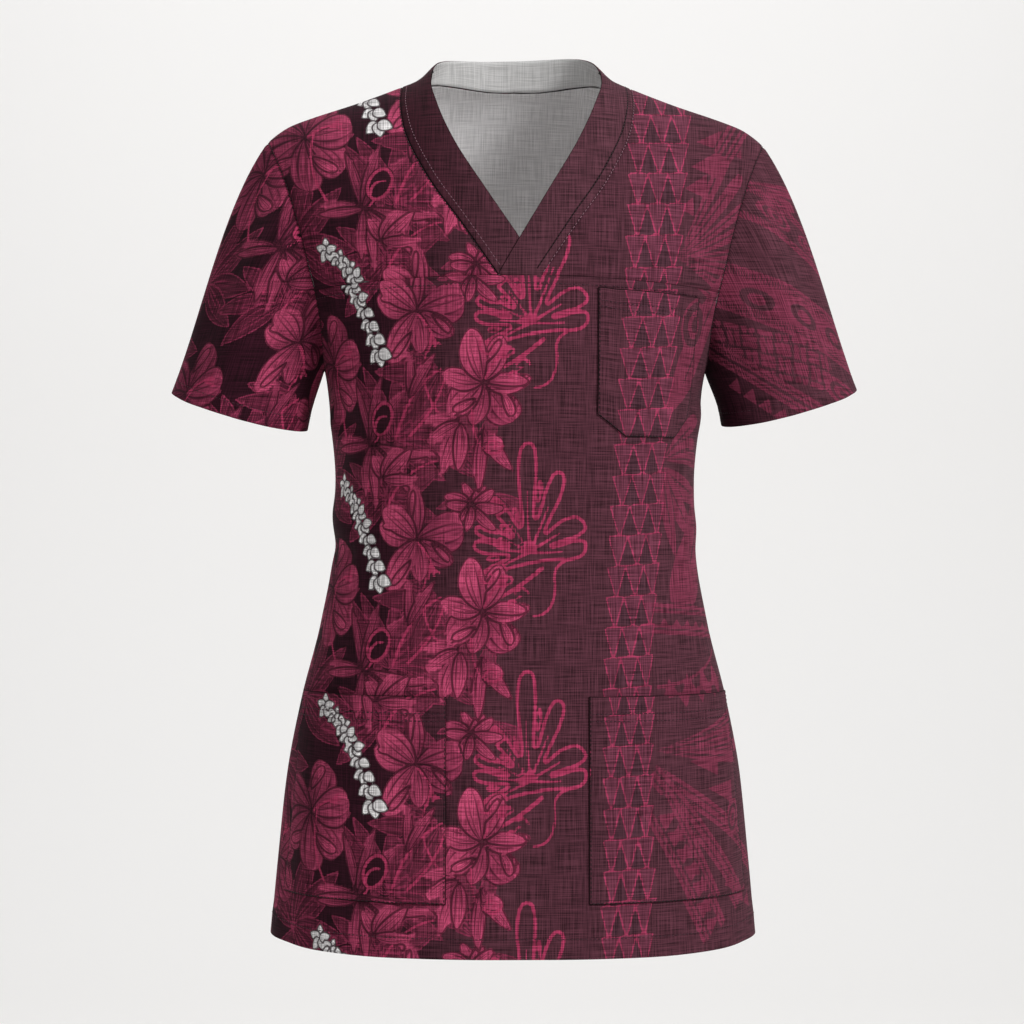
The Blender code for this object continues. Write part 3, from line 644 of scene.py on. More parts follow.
# pockets, in metres: cut and print, spacing; reaches of the sides, heights of top and bottom, how
# far the top falls and the corners are cut; then how far the cloth, its fold and its slack stand
# off, the depths of the rows across the top hem, and how far in the edges are stitched
lowPocket = {"flat": (0.157, 0.155), "area": 0.0233, "slot": "printed_cloth",
             "print": {"shift": (2, -3)}, "spacing": 0.0015, "inner": 0.053, "outerTop": 0.1625,
             "outerBottom": 0.1785, "top": -0.492, "topDroop": 0.0, "bottom": -0.6455,
             "chamfer": 0.0, "raised": 0.0013, "fold": 0.0007, "slack": 0.0012,
             "foldReach": 0.0022, "gape": 0.0006, "gapeReach": 0.012, "rows": (0.0130, 0.0185),
             "stitchedIn": 0.0009}
chestPocket = dict(lowPocket, flat=(0.094, 0.110), area=0.0101, inner=0.0583, outerTop=0.1370,
                   outerBottom=0.1310, top=-0.1865, topDroop=0.0045, bottom=-0.2972,
                   chamfer=0.0165, slack=0.0008, rows=(0.0110, 0.0160))


# a patch on the front: straight sides between its corners, chamfered at the bottom
def pocketPlace(hand, size, across, down):
    width = size["outerBottom"] - size["inner"]
    fromSide = np.minimum(across, 1 - across) * width
    bottom = size["bottom"] + np.clip(size["chamfer"] - fromSide, 0, None)
    top = size["top"] - size["topDroop"] * across
    height = top + (bottom - top) * down
    outerReach = size["outerTop"] + (size["outerBottom"] - size["outerTop"]) * down
    level = levelOf(size["inner"] + (outerReach - size["inner"]) * across, height)
    first, last = angleTo(size["inner"], level), angleTo(outerReach, level)
    return hand * (first + (last - first) * across), level


# how far the pocket stands off: folded under and sewn down at sides and bottom, a little slack
# in its middle, and open at its top, which stands off by a sine between the corners
def pocketRaised(size, across, down):
    width, depth = size["outerBottom"] - size["inner"], size["top"] - size["bottom"]
    fromSide = np.minimum(np.minimum(across, 1 - across) * width, (1 - down) * depth)
    slack = np.sin(np.pi * across) * np.sin(np.pi * (1 - down) * 0.5)
    gape = np.sin(np.pi * across) * np.exp(-down * depth / size["gapeReach"])
    return (size["raised"] + size["fold"] * (1 - np.exp(-(fromSide / size["foldReach"]) ** 2))
            + size["slack"] * slack ** 1.5 + size["gape"] * gape)


# shares of a pocket's width and depth, close together at its edges
def pocketGrid(size):
    across = places(size["outerBottom"] - size["inner"], size["spacing"])[None, :]
    down = places(size["top"] - size["bottom"], size["spacing"])[:, None]
    return np.broadcast_arrays(across, down)


# the print: flat shapes on the cloth, each a formula of its own, laid one over another.
# Every field holds a signed distance in millimetres, more than 0 inside; X runs to the wearer's
# left from the middle of the front, Y runs down, and the flowers repeat after one length.
# Petals that touch lie in different fields, so that each keeps its own edge
printRepeat = 170.5
petalFields = ("petalA", "petalB", "petalC")
whiteFields = ("whiteA", "whiteB", "whiteC")
printFields = petalFields + whiteFields + ("hollow", "line", "ghost", "column", "upright")


# the points of the cloth near a place, wrapped by the repeat, with their places from there
def around(canvas, at, reach, repeated=True):
    x, y = canvas["x"] - at[0], canvas["y"] - at[1]
    if repeated:
        y = (y + printRepeat / 2) % printRepeat - printRepeat / 2
    index = np.flatnonzero((np.abs(x) < reach) & (np.abs(y) < reach))
    return index, x[index], y[index]


# distance from points to a path of short straight runs, and the share along it where it is met
def pathDistance(x, y, path):
    start, run = path[:-1], np.diff(path, axis=0)
    fromX, fromY = x[:, None] - start[:, 0], y[:, None] - start[:, 1]
    square = np.maximum((run ** 2).sum(axis=1), 1e-9)
    t = np.clip((fromX * run[:, 0] + fromY * run[:, 1]) / square, 0, 1)
    apart = np.hypot(fromX - t * run[:, 0], fromY - t * run[:, 1])
    nearest = apart.argmin(axis=1)
    rows = np.arange(len(x))
    return apart[rows, nearest], (nearest + t[rows, nearest]) / len(run)


# signed distance to a closed outline: more than 0 where a level line crosses it an odd number of times
def shapeDistance(x, y, outline):
    path = np.vstack([outline, outline[:1]])
    apart, _ = pathDistance(x, y, path)
    low, high = path[:-1], path[1:]
    rise = high[:, 1] - low[:, 1]
    rise = np.where(np.abs(rise) < 1e-9, 1e-9, rise)
    at = low[:, 0] + (y[:, None] - low[:, 1]) * (high[:, 0] - low[:, 0]) / rise
    crossed = ((low[:, 1] > y[:, None]) != (high[:, 1] > y[:, None])) & (x[:, None] < at)
    return np.where(crossed.sum(axis=1) % 2, apart, -apart)


# (along, aside) turned by degrees, 90 being up the cloth, and moved
def placed(points, degrees, at=(0.0, 0.0)):
    c, s = np.cos(np.radians(degrees)), np.sin(np.radians(degrees))
    return np.stack([at[0] + points[:, 0] * c - points[:, 1] * s,
                     at[1] - points[:, 0] * s - points[:, 1] * c], axis=-1)


# outline of a petal or leaf: half width is share to a power times one minus share to a power;
# its middle line bends aside with the square of the share
def petalOutline(length, width, bend=0.0, foot=0.8, tip=0.45, steps=13):
    s = (1 - np.cos(np.linspace(0, np.pi, steps))) / 2
    peak = foot / (foot + tip)
    half = width * (s / peak) ** foot * ((1 - s) / (1 - peak)) ** tip
    middle = np.stack([length * s, bend * length * s ** 2], axis=-1)
    aside = np.stack([0 * half, half], axis=-1)
    return np.vstack([middle + aside, (middle - aside)[-2:0:-1]])


# points of an oval: half length times cosine, half width times sine
def ovalOutline(halfLength, halfWidth, steps=18):
    t = np.linspace(0, 2 * np.pi, steps, endpoint=False)
    return np.stack([halfLength * np.cos(t), halfWidth * np.sin(t)], axis=-1)


# curve through a foot, a pull and an end: (1-t) squared, 2t(1-t), t squared
def bow(foot, pull, end, steps=9):
    t = np.linspace(0, 1, steps)[:, None]
    return (1 - t) ** 2 * np.array(foot) + 2 * t * (1 - t) * np.array(pull) + t * t * np.array(end)


# spiral whose radius falls evenly with its turns
def curl(radius, turns, steps=22):
    t = np.linspace(0, 1, steps)
    r = radius * (1 - 0.8 * t)
    return np.stack([r * np.cos(2 * np.pi * turns * t), r * np.sin(2 * np.pi * turns * t)], axis=-1)


# corners of a closed outline cut twice at a quarter and three quarters of each run
def rounded(outline, times=2):
    for _ in range(times):
        following = np.roll(outline, -1, axis=0)
        outline = np.stack([0.75 * outline + 0.25 * following, 0.25 * outline + 0.75 * following],
                           axis=1).reshape(-1, 2)
    return outline


# lays one petal. In its own frame the half width is the power curve of petalOutline; the distance
# is what is left of it over the root of one plus its slope squared. It is kept with the share
# along the petal and the share of the half width, from which the finish draws veins
def layPetal(canvas, spot, petal, fields, number, tone=0.5, foot=0.8, tip=0.45, at=(0.0, 0.0),
             quiet=0.0):
    index, x, y = spot
    degrees, length, width, bend = petal
    c, s = np.cos(np.radians(degrees)), np.sin(np.radians(degrees))
    along = (x - at[0]) * c - (y - at[1]) * s
    aside = -(x - at[0]) * s - (y - at[1]) * c
    share = np.clip(along / length, 0.002, 0.998)
    peak = foot / (foot + tip)
    half = width * (share / peak) ** foot * ((1 - share) / (1 - peak)) ** tip
    slope = np.abs(half * (foot / share - tip / (1 - share)) / length)
    aside = aside - bend * length * share ** 2
    left = half - np.abs(aside)
    inside = left / np.sqrt(1 + np.where(left > 0, slope, np.minimum(slope, 1.0)) ** 2)
    beyond = np.hypot(np.maximum(0, np.maximum(-along, along - length)), aside)
    inside = np.where((along < 0) | (along > length), -beyond, inside)
    own = fields[number % len(fields)]
    for field in petalFields + whiteFields + ("hollow", "line"):
        if field != own:
            canvas[field][index] = np.minimum(canvas[field][index], -inside)
    canvas[own][index] = np.maximum(canvas[own][index], inside)
    over = inside > -0.9
    over = (index[over], share[over], np.clip(aside / np.maximum(half, 0.3), -1, 1)[over])
    canvas["along"][over[0]], canvas["aside"][over[0]] = over[1], over[2]
    canvas["quiet"][over[0]] = quiet
    canvas["tone"][over[0]] = tone * (0.22 + 0.86 * over[1] ** 0.8) + 0.17 * over[2] * over[1]


# lays a closed shape: hollow with a bright edge over what is there, or a dim or bare patch of the
# quiet figures
def layShape(canvas, spot, outline, look):
    index, x, y = spot
    inside = shapeDistance(x, y, outline)
    if look == "hollow":
        for field in petalFields + ("line",):
            canvas[field][index] = np.minimum(canvas[field][index], -inside)
        canvas["hollow"][index] = np.maximum(canvas["hollow"][index], inside)
    elif look == "dim":
        canvas["ghost"][index] = np.maximum(canvas["ghost"][index], inside)
    else:
        canvas["ghost"][index] = np.minimum(canvas["ghost"][index], -inside)


# lays a line that thins to its end; across it the field is a parabola, which a coarse grid keeps
# even where half less the distance would break up
def layLine(canvas, spot, path, width, endWidth=None, field="line"):
    index, x, y = spot
    apart, share = pathDistance(x, y, path)
    half = width + ((0.35 * width if endWidth is None else endWidth) - width) * share
    canvas[field][index] = np.maximum(canvas[field][index], (half ** 2 - apart ** 2) / (2 * half))


# flower of round petals with a long stamen; every other petal has its edge turned over near the tip
def hibiscus(canvas, at, petals, stamen):
    spot = around(canvas, at, 50)
    for number, (degrees, length, width, bend, light) in enumerate(petals):
        layPetal(canvas, spot, (degrees, length, width, bend), petalFields, number, light, 0.85,
                 0.62 if width < 12 else 0.42)
        if number % 2 == 0:
            side = 0.62 * width * (1 if bend > 0 else -1)
            foot = placed(np.array([[0.34 * length, side]]), degrees)[0]
            turned = (degrees, 0.56 * length, 0.30 * width, 0.9 * bend - side / length)
            layPetal(canvas, spot, turned, petalFields, number + 1, min(1.15, light + 0.35), at=foot)
    layLine(canvas, spot, placed(bow((3, 0), (15, 4), (29, 2)), stamen), 1.0, 0.8)
    for k in range(3):
        layLine(canvas, spot, placed(bow((22, 1), (27, 3 * k - 3), (31, 5 * k - 5)), stamen), 0.9, 0.8)


# tuft of long narrow leaves from one hub; a leaf longer than wide has a sharp tip
def tuft(canvas, at, leaves, tone=0.5, sharp=0.8, quiet=0.0):
    spot = around(canvas, at, 84)
    for number, leaf in enumerate(leaves):
        layPetal(canvas, spot, leaf, petalFields, number, tone, 0.7, sharp, quiet=quiet)


# cut leaf: one outline that runs out to each lobe and back to the valley before the next, with
# its corners rounded; a rib in each lobe and holes between the ribs
def lobedLeaf(canvas, at, lobes, holes):
    spot = around(canvas, at, 84)
    outline = []
    for k, (degrees, length, width, bend) in enumerate(lobes):
        share = np.array([0.48, 0.74, 0.98, 0.98, 0.74, 0.48])
        aside = np.array([0.75, 1.0, 0.7, -0.7, -1.0, -0.75]) * width + bend * length * share ** 2
        outline.append(placed(np.stack([length * share, aside], axis=-1), degrees))
        after = lobes[(k + 1) % len(lobes)]
        valley = 0.36 * min(length, after[1]) if k + 1 < len(lobes) else 9.0
        middle = (degrees + after[0]) / 2 if k + 1 < len(lobes) else (degrees + after[0] - 360) / 2
        outline.append(placed(np.array([[valley, 0.0]]), middle))
    layShape(canvas, spot, rounded(np.vstack(outline)), "hollow")
    for degrees, length, width, bend in lobes:
        rib = bow((0, 0), (length * 0.25, 0), (length * 0.55, bend * length * 0.3))
        layLine(canvas, spot, placed(rib, degrees), 1.3, 0.7)
    for degrees, reach, long, wide in holes:
        centre = placed(np.array([[reach, 0.0]]), degrees)[0]
        path = placed(ovalOutline(long, wide), degrees, centre)
        layLine(canvas, spot, np.vstack([path, path[:1]]), 1.0, 1.0)


# garland: white flowers along a bow, five-petalled at its start, that close into pairs of broad
# petals at its end. Each is (share of the bow, petal length, half width, first angle, petals, turn)
garlandFlowers = (
    (0.00, 11.0, 3.9, 84, 5, 72), (0.17, 8.8, 3.3, 60, 5, 72), (0.30, 9.2, 3.5, 20, 5, 72),
    (0.42, 9.2, 3.7, 200, 4, 70), (0.53, 9.8, 3.9, 196, 4, 56), (0.65, 10.2, 4.1, 205, 3, 60),
    (0.76, 10.8, 4.3, 200, 3, 58), (0.87, 11.6, 4.6, 212, 3, 56), (0.98, 13.2, 5.1, 222, 3, 54))


# lays the garland: each flower at its share of the bow, its petals at even turns
def garland(canvas, foot, pull, end):
    laid = 0
    for share, length, width, first, count, turn in garlandFlowers:
        place = ((1 - share) ** 2 * np.array(foot) + 2 * share * (1 - share) * np.array(pull)
                 + share ** 2 * np.array(end))
        spot = around(canvas, place, 16)
        for number in range(count):
            laid += 1
            layPetal(canvas, spot, (first + turn * number, length, width, 0.08), whiteFields, laid,
                     1.0, 0.55, 0.95)


# middle and width of the column of triangles, in millimetres, by the height down the cloth
columnTableColumns = ("down", "middle", "width")
columnTable = (
    (40, 109.5, 50.0), (54, 108.5, 50.0), (82, 105.0, 49.5), (106, 104.0, 48.5), (131, 103.0, 48.5),
    (153, 101.5, 49.0), (179, 101.5, 50.5), (214, 100.5, 53.0), (258, 99.0, 53.5), (302, 99.0, 52.5),
    (350, 95.5, 51.0), (394, 91.5, 47.5), (438, 87.5, 43.5), (489, 84.0, 41.0), (533, 81.0, 40.5),
    (580, 81.0, 40.0), (625, 81.5, 41.0), (700, 84.0, 41.0))


# column of rows, each a band that narrows downwards, with two dark triangles standing in it, so
# three pale ones stand on their points between: distances to slanting sides, less the gaps
def triangleColumn(canvas, top, pitch, tilt=0.06, tip=1.3):
    level = canvas["y"] - top
    level = level + tilt * (canvas["x"] - column(columnTableColumns, columnTable, "middle", canvas["y"]))
    row = np.floor(level / pitch)
    down = level - row * pitch
    start = top + row * pitch
    x = canvas["x"] - column(columnTableColumns, columnTable, "middle", start)
    width = column(columnTableColumns, columnTable, "width", start)
    third = width / 3
    slant = third / 2 - tip
    slope = np.hypot(pitch, slant)
    sides = ((width / 2 - np.abs(x)) * pitch - down * slant) / slope
    gap = ((down - 2.4) * slant - np.abs(np.abs(x) - third / 2) * (pitch - 2.4)) / slope
    canvas["upright"] = np.minimum(gap, pitch - 0.6 - down)
    canvas["column"] = np.minimum(np.minimum(sides, -gap), np.minimum(down - 0.2, pitch + 2 - down))


# sheaf of rays from a foot: broad dim blades with bare gaps
def sheaf(canvas, at, first, last, rays, reach, width, bend=0.1):
    spot = around(canvas, at, reach + 4, False)
    for k in range(rays):
        degrees = first + (last - first) * k / (rays - 1)
        blade = reach * (1 - 0.22 * (k % 2))
        for long, wide, foot, tip, look in (
                (blade * 1.02, width + 1.6, 1.0, 0.3, "bare"), (blade, width, 1.0, 0.3, "dim"),
                (blade * 0.8, 0.9, 0.6, 0.4, "bare")):
            layShape(canvas, spot, placed(petalOutline(long, wide, bend, foot, tip), degrees), look)


# nested ovals, dim and bare by turns
def nestedOvals(canvas, at, degrees, length, width, shares=(1.0, 0.74, 0.5, 0.22)):
    spot = around(canvas, at, 1.2 * length, False)
    for k, share in enumerate(shares):
        layShape(canvas, spot, placed(ovalOutline(share * length, share * width), degrees),
                 ("dim", "bare")[k % 2])


# dim triangles: each is a tip and the length and height of its base beyond it
def fins(canvas, triangles, degrees=0):
    for x, y, length, height in triangles:
        spot = around(canvas, (x, y), 1.6 * length, False)
        fin = np.array([[0, 0], [length, height * 0.62], [length * 1.12, -height * 0.38]])
        layShape(canvas, spot, placed(fin, degrees), "dim")


# row of teeth: triangles side by side along a line
def teeth(canvas, at, degrees, size, count, tall=1.0):
    spot = around(canvas, at, size * (count + 1) + 8, False)
    for k in range(count):
        foot = np.array([[k * size, 0], [(k + 0.92) * size, 0], [(k + 0.46) * size, size * tall]])
        layShape(canvas, spot, placed(foot, degrees), "dim")


# frame of a tilted field: places along it and across it
def tilted(canvas, at, degrees):
    x, y = canvas["x"] - at[0], canvas["y"] - at[1]
    c, s = np.cos(np.radians(degrees)), np.sin(np.radians(degrees))
    return x * c - y * s, x * s + y * c


# plaited blocks in a tilted field: broad strips that pass over and under by turns
def plaited(canvas, at, degrees, halfLength, halfWidth, block=12.5):
    u, v = tilted(canvas, at, degrees)
    i, j = np.floor(u / block), np.floor(v / block)
    over = (i + j) % 2 == 0
    across = np.where(over, u % block, v % block)
    beside = np.where(over, v % block, u % block)
    strip = np.minimum(block / 2 - 0.5 - np.abs(across - block / 2),
                       block / 2 - 1.6 - np.abs(beside - block / 2))
    strip = np.minimum(strip, np.abs(beside - block / 2) - 0.7)
    field = np.minimum(halfLength - np.abs(u), halfWidth - np.abs(v))
    canvas["ghost"] = np.maximum(canvas["ghost"], np.minimum(strip, field))


# filled band between two straight lines, or only its edges of two lines each
def ruledBand(canvas, at, degrees, halfLength, halfWidth, filled=False):
    u, v = tilted(canvas, at, degrees)
    v = np.abs(v)
    lines = np.maximum(1.5 - np.abs(v - halfWidth), 1.1 - np.abs(v - halfWidth + 4.4))
    if filled:
        lines = np.maximum(lines, halfWidth - 7.0 - v)
    clear = np.minimum(halfWidth + 2.8 - v, halfLength - np.abs(u))
    canvas["ghost"] = np.maximum(np.minimum(canvas["ghost"], -clear),
                                 np.minimum(lines, halfLength - np.abs(u)))


# the quiet figures beside the column, from the shoulder down
def quietFigures(canvas):
    sheaf(canvas, (121, 170), 60, -24, 7, 112, 5.4, 0.10)
    fins(canvas, ((136, 76, 34, 30), (131, 97, 25, 25), (126, 115, 18, 20), (121, 131, 12, 15)))
    ruledBand(canvas, (172, 60), 62, 30, 7)
    spot = around(canvas, (178, 176), 120, False)
    layShape(canvas, spot, placed(petalOutline(122, 17, -0.12, 0.8, 0.9), -112), "dim")
    layShape(canvas, spot, placed(petalOutline(100, 1.4, -0.12, 0.8, 0.9), -110), "bare")
    nestedOvals(canvas, (146, 214), 70, 18, 15, (1.15, 1.0, 0.62, 0.34))
    sheaf(canvas, (118, 316), 44, 12, 3, 66, 6.0, -0.2)
    spot = around(canvas, (120, 320), 120, False)
    for degrees, length, width, bend in ((-34, 78, 9, 0.25), (-62, 84, 9.5, 0.2), (-84, 70, 7, 0.1)):
        for long, wide, look in ((length * 1.03, width + 1.8, "bare"), (length, width, "dim"),
                                 (length * 0.8, 1.1, "bare")):
            layShape(canvas, spot, placed(petalOutline(long, wide, bend, 0.8, 0.9), degrees), look)
    spot = around(canvas, (182, 330), 120, False)
    layShape(canvas, spot, placed(petalOutline(108, 24, -0.2, 0.9, 0.5), -104), "dim")
    layShape(canvas, spot, placed(petalOutline(70, 1.5, -0.2, 0.9, 0.5), -100), "bare")
    ruledBand(canvas, (150, 437), -4, 52, 10)
    teeth(canvas, (112, 441), -4, 13, 6, 0.55)
    spot = around(canvas, (110, 484), 100, False)
    layLine(canvas, spot, bow((0, 2), (38, 0), (78, -24)), 1.5, 1.2, "ghost")
    teeth(canvas, (114, 497), 10, 19, 4, 0.85)
    teeth(canvas, (190, 480), 190, 18, 4, 0.8)
    sheaf(canvas, (102, 536), 12, -8, 4, 130, 4.6, 0.05)
    for turned, reach in ((-30, 150), (-47, 140)):
        middle = placed(np.array([[reach / 2, 0]]), turned, (100, 552))[0]
        ruledBand(canvas, middle, turned, reach / 2, 5.2)
    fins(canvas, ((132, 545, 30, 15), (150, 566, 32, 18)), -12)
    nestedOvals(canvas, (184, 590), 60, 15, 11)
    ruledBand(canvas, (132, 622), -60, 58, 13)
    teeth(canvas, (104, 584), -60, 15, 7, 0.95)
    teeth(canvas, (158, 656), 120, 15, 5, 0.7)
    teeth(canvas, (168, 640), -20, 14, 4, 0.8)


# figures of the wearer's left sleeve: two ruled bands down the slope, plaiting between
def sleeveFigures(canvas):
    sheaf(canvas, (210, 6), -8, -40, 4, 96, 5.0, 0.05)
    ruledBand(canvas, (262, 44), -32, 66, 15)
    nestedOvals(canvas, (248, 34), -34, 17, 8.5)
    nestedOvals(canvas, (280, 56), -32, 13, 7)
    ruledBand(canvas, (236, 112), -24, 88, 19, True)
    nestedOvals(canvas, (204, 100), -20, 13, 9, (1.15, 0.95, 0.5))
    nestedOvals(canvas, (238, 113), -30, 15, 9, (1.15, 0.95, 0.5))
    nestedOvals(canvas, (274, 128), -26, 13, 8, (1.15, 0.95, 0.5))
    plaited(canvas, (190, 140), -14, 64, 18)
    ruledBand(canvas, (206, 176), -34, 96, 7)
    teeth(canvas, (150, 166), -34, 14, 8, 0.8)
    nestedOvals(canvas, (256, 172), -26, 20, 12)


# the flowers and leaves in one length of the print. A petal is (degrees from the wearer's left, 90
# being up; length, half width, bend, tone), a lobe (degrees, length, half width, bend), a hole
# (degrees, reach, half length, half width)
printedMotifs = {
    "hibiscusLeft": {"at": (-78, 375), "stamen": -62, "petals": (
        (88, 41, 7.5, 0.10, 0.62), (10, 38, 15.5, 0.06, 0.50), (-40, 34, 9, 0.12, 0.40),
        (-78, 32, 8, -0.10, 0.60), (170, 34, 10.5, -0.14, 0.92), (132, 37, 10, 0.16, 0.95),
        (-128, 44, 10, 0.12, 1.05))},
    "hibiscusMiddle": {"at": (-27, 428), "stamen": 52, "petals": (
        (-58, 37, 13.5, 0.10, 0.55), (-96, 33, 8, -0.12, 0.62), (214, 34, 11.5, 0.12, 0.85),
        (180, 31, 8.5, -0.20, 0.95), (-14, 35, 8, 0.30, 1.00), (14, 33, 5.5, -0.24, 0.95),
        (58, 37, 9, 0.16, 0.90), (118, 40, 11, -0.24, 1.08))},
    "bloomFar": {"at": (-168, 414), "stamen": 20, "petals": (
        (60, 40, 15, 0.10, 0.50), (150, 42, 16, 0.10, 0.42), (-150, 42, 16, 0.05, 0.46),
        (-95, 44, 14, 0.10, 0.52), (-40, 42, 15, -0.08, 0.60), (6, 38, 15, 0.10, 0.66))},
    "bloomFarther": {"at": (-228, 452), "stamen": 60, "petals": (
        (90, 40, 15, 0.10, 0.50), (20, 38, 15, 0.10, 0.56), (-45, 40, 15, 0.05, 0.50),
        (-110, 40, 14, 0.10, 0.46), (-175, 38, 15, 0.08, 0.44), (145, 38, 14, 0.10, 0.48))},
    "cutLeaf": {"at": (9, 384), "lobes": (
        (204, 44, 5.5, 0.10), (178, 44, 6.0, -0.08), (152, 46, 6.0, 0.08), (124, 52, 6.0, 0.04),
        (95, 84, 8.5, -0.06), (67, 66, 7.5, 0.04), (36, 48, 9.5, -0.12), (-4, 44, 8.5, 0.16)),
        "holes": ((110, 30, 5.0, 1.8), (165, 24, 4.0, 2.0), (82, 46, 8.0, 1.9), (190, 28, 4.5, 1.8),
                  (138, 26, 3.6, 1.9))},
    "smallFlower": ((100, 18, 4.2, 0.20), (150, 22, 5.0, 0.20), (190, 20, 4.4, -0.20),
                    (235, 19, 4.0, 0.20), (60, 18, 4.0, -0.10), (20, 20, 4.6, 0.25),
                    (-20, 24, 5.0, 0.25), (-60, 26, 4.4, 0.25), (-90, 20, 3.8, -0.2))}
# leaves behind the flowers: hub, tone, then (degrees, length, half width, bend)
quietLeaves = (
    ((-236, 380), 0.30, ((40, 70, 11, 0.1), (5, 62, 11, -0.1), (-30, 70, 12, 0.1), (-70, 66, 11, 0.1),
                         (100, 66, 11, 0.1))),
    ((-190, 500), 0.26, ((150, 60, 10, 0.1), (110, 66, 11, 0.1), (72, 70, 11, -0.1), (35, 66, 10, 0.1),
                         (0, 60, 10, -0.1), (-40, 60, 10, 0.1))),
    ((-98, 472), 0.34, ((64, 66, 8, 0.10), (44, 62, 8, -0.12), (24, 62, 8, 0.10), (4, 60, 8, -0.10),
                        (-18, 58, 8, 0.12), (84, 58, 7, 0.05), (-40, 52, 8, 0.1), (112, 64, 8, 0.1),
                        (134, 66, 8, -0.1))),
    ((-32, 498), 0.40, ((98, 62, 8, 0.08), (78, 58, 7, -0.10), (118, 58, 7, 0.10), (138, 50, 7, 0.1))),
    ((-178, 440), 0.30, ((70, 62, 9, 0.10), (105, 60, 9, 0.10), (35, 56, 9, -0.10), (0, 50, 9, 0.1))),
    ((-60, 420), 0.34, ((160, 52, 8, 0.1), (185, 56, 8, -0.1), (210, 50, 8, 0.1), (-60, 30, 7, 0.1),
                        (235, 46, 8, 0.1))),
    ((-105, 345), 0.36, ((20, 50, 8, 0.1), (-15, 50, 8, -0.1), (60, 44, 8, 0.1), (90, 52, 8, 0.1),
                         (118, 54, 8, -0.1), (140, 50, 8, 0.1), (180, 56, 8, 0.1), (215, 50, 9, 0.1),
                         (-48, 46, 8, 0.1))),
    ((-20, 340), 0.42, ((190, 44, 6, 0.1), (215, 40, 6, -0.1), (-30, 40, 5, 0.2), (-55, 44, 5, 0.1))))


# one length of flowers and leaves, from the quiet ones behind to the ones in front
def drawFlowers(canvas):
    for at, tone, leaves in quietLeaves:
        tuft(canvas, at, leaves, tone, 0.9, 1.0)
    for name in ("bloomFarther", "bloomFar"):
        hibiscus(canvas, **printedMotifs[name])
    # thin scrolls that run up through the leaves
    for foot, pull, end in (
            ((-96, 470), (-84, 430), (-58, 418)), ((-84, 468), (-60, 446), (-56, 424)),
            ((-104, 352), (-90, 322), (-62, 316)), ((-122, 338), (-128, 300), (-104, 292)),
            ((-60, 452), (-78, 430), (-70, 404)), ((-150, 470), (-172, 440), (-160, 408))):
        path = bow(foot, pull, end)
        layLine(canvas, around(canvas, path[4], 50), path - path[4], 1.1, 0.8)
    # leaves that stream from the hub at the left, and its bud
    tuft(canvas, (-123, 474), ((100, 48, 4.2, 0.10), (80, 54, 4.6, -0.10), (60, 52, 4.4, -0.20)), 0.45)
    tuft(canvas, (-122, 474), ((-4, 50, 3.8, -0.20), (-18, 60, 4.6, 0.20), (-33, 56, 4.8, -0.20),
                               (-50, 52, 5.0, 0.22), (-72, 48, 4.6, -0.16), (-100, 42, 4.2, 0.10),
                               (165, 36, 3.6, 0.15), (190, 40, 4.0, -0.10)), 0.72)
    spot = around(canvas, (-109, 455), 24)
    layShape(canvas, spot, placed(ovalOutline(14, 10), 62), "hollow")
    layLine(canvas, spot, placed(bow((-11, 3), (0, 7), (4, -3)), 62), 1.2, 0.9)
    tuft(canvas, (-108, 500), ((115, 22, 5, 0.1), (70, 28, 6, -0.2), (30, 34, 5.5, 0.2),
                               (-10, 30, 5, 0.2)), 0.8)
    tuft(canvas, (-84, 440), ((85, 36, 4.0, 0.10), (64, 40, 4.4, -0.10)), 0.6)
    lobedLeaf(canvas, **printedMotifs["cutLeaf"])
    # stalk of the cut leaf, and its tendril
    spot = around(canvas, (30, 410), 60)
    layLine(canvas, spot, bow((-12, -14), (-30, 2), (-48, 10)), 1.6, 1.3)
    layLine(canvas, spot, bow((16, -22), (-6, -20), (-2, -2)), 1.2, 1.0)
    layLine(canvas, spot, bow((-2, -2), (-2, 22), (-19, 22)), 1.1, 0.9)
    tuft(canvas, (-35, 349), printedMotifs["smallFlower"], 0.75, 0.6)
    # leaves and scroll under the middle flower
    tuft(canvas, (-44, 458), ((-118, 42, 6.5, 0.15), (-84, 36, 6.0, -0.15), (160, 26, 5.0, 0.3),
                              (200, 30, 5, 0.2)), 0.95)
    tuft(canvas, (-26, 462), ((-100, 48, 5.5, 0.10), (-70, 38, 6.0, 0.25)), 0.7)
    hibiscus(canvas, **printedMotifs["hibiscusLeft"])
    hibiscus(canvas, **printedMotifs["hibiscusMiddle"])
    spot = around(canvas, (-19, 475), 30)
    layPetal(canvas, spot, (0, 17, 8.0, 0.0), petalFields, 1, 0.9, 0.5, 0.5, (-8.5, 0.0))
    layLine(canvas, spot, curl(7.0, 1.2), 1.1, 0.9)
    layLine(canvas, spot, bow((-16, -26), (-16, 4), (2, 8)), 1.2)
    # curled tips over the middle flower
    for at, degrees, size in (((-10, 408), 30, 7), ((-22, 402), 150, 8), ((2, 416), 10, 6),
                              ((-5, 424), -10, 5)):
        spot = around(canvas, at, 20)
        layLine(canvas, spot, placed(curl(size, 0.8), degrees), 1.2, 0.8)
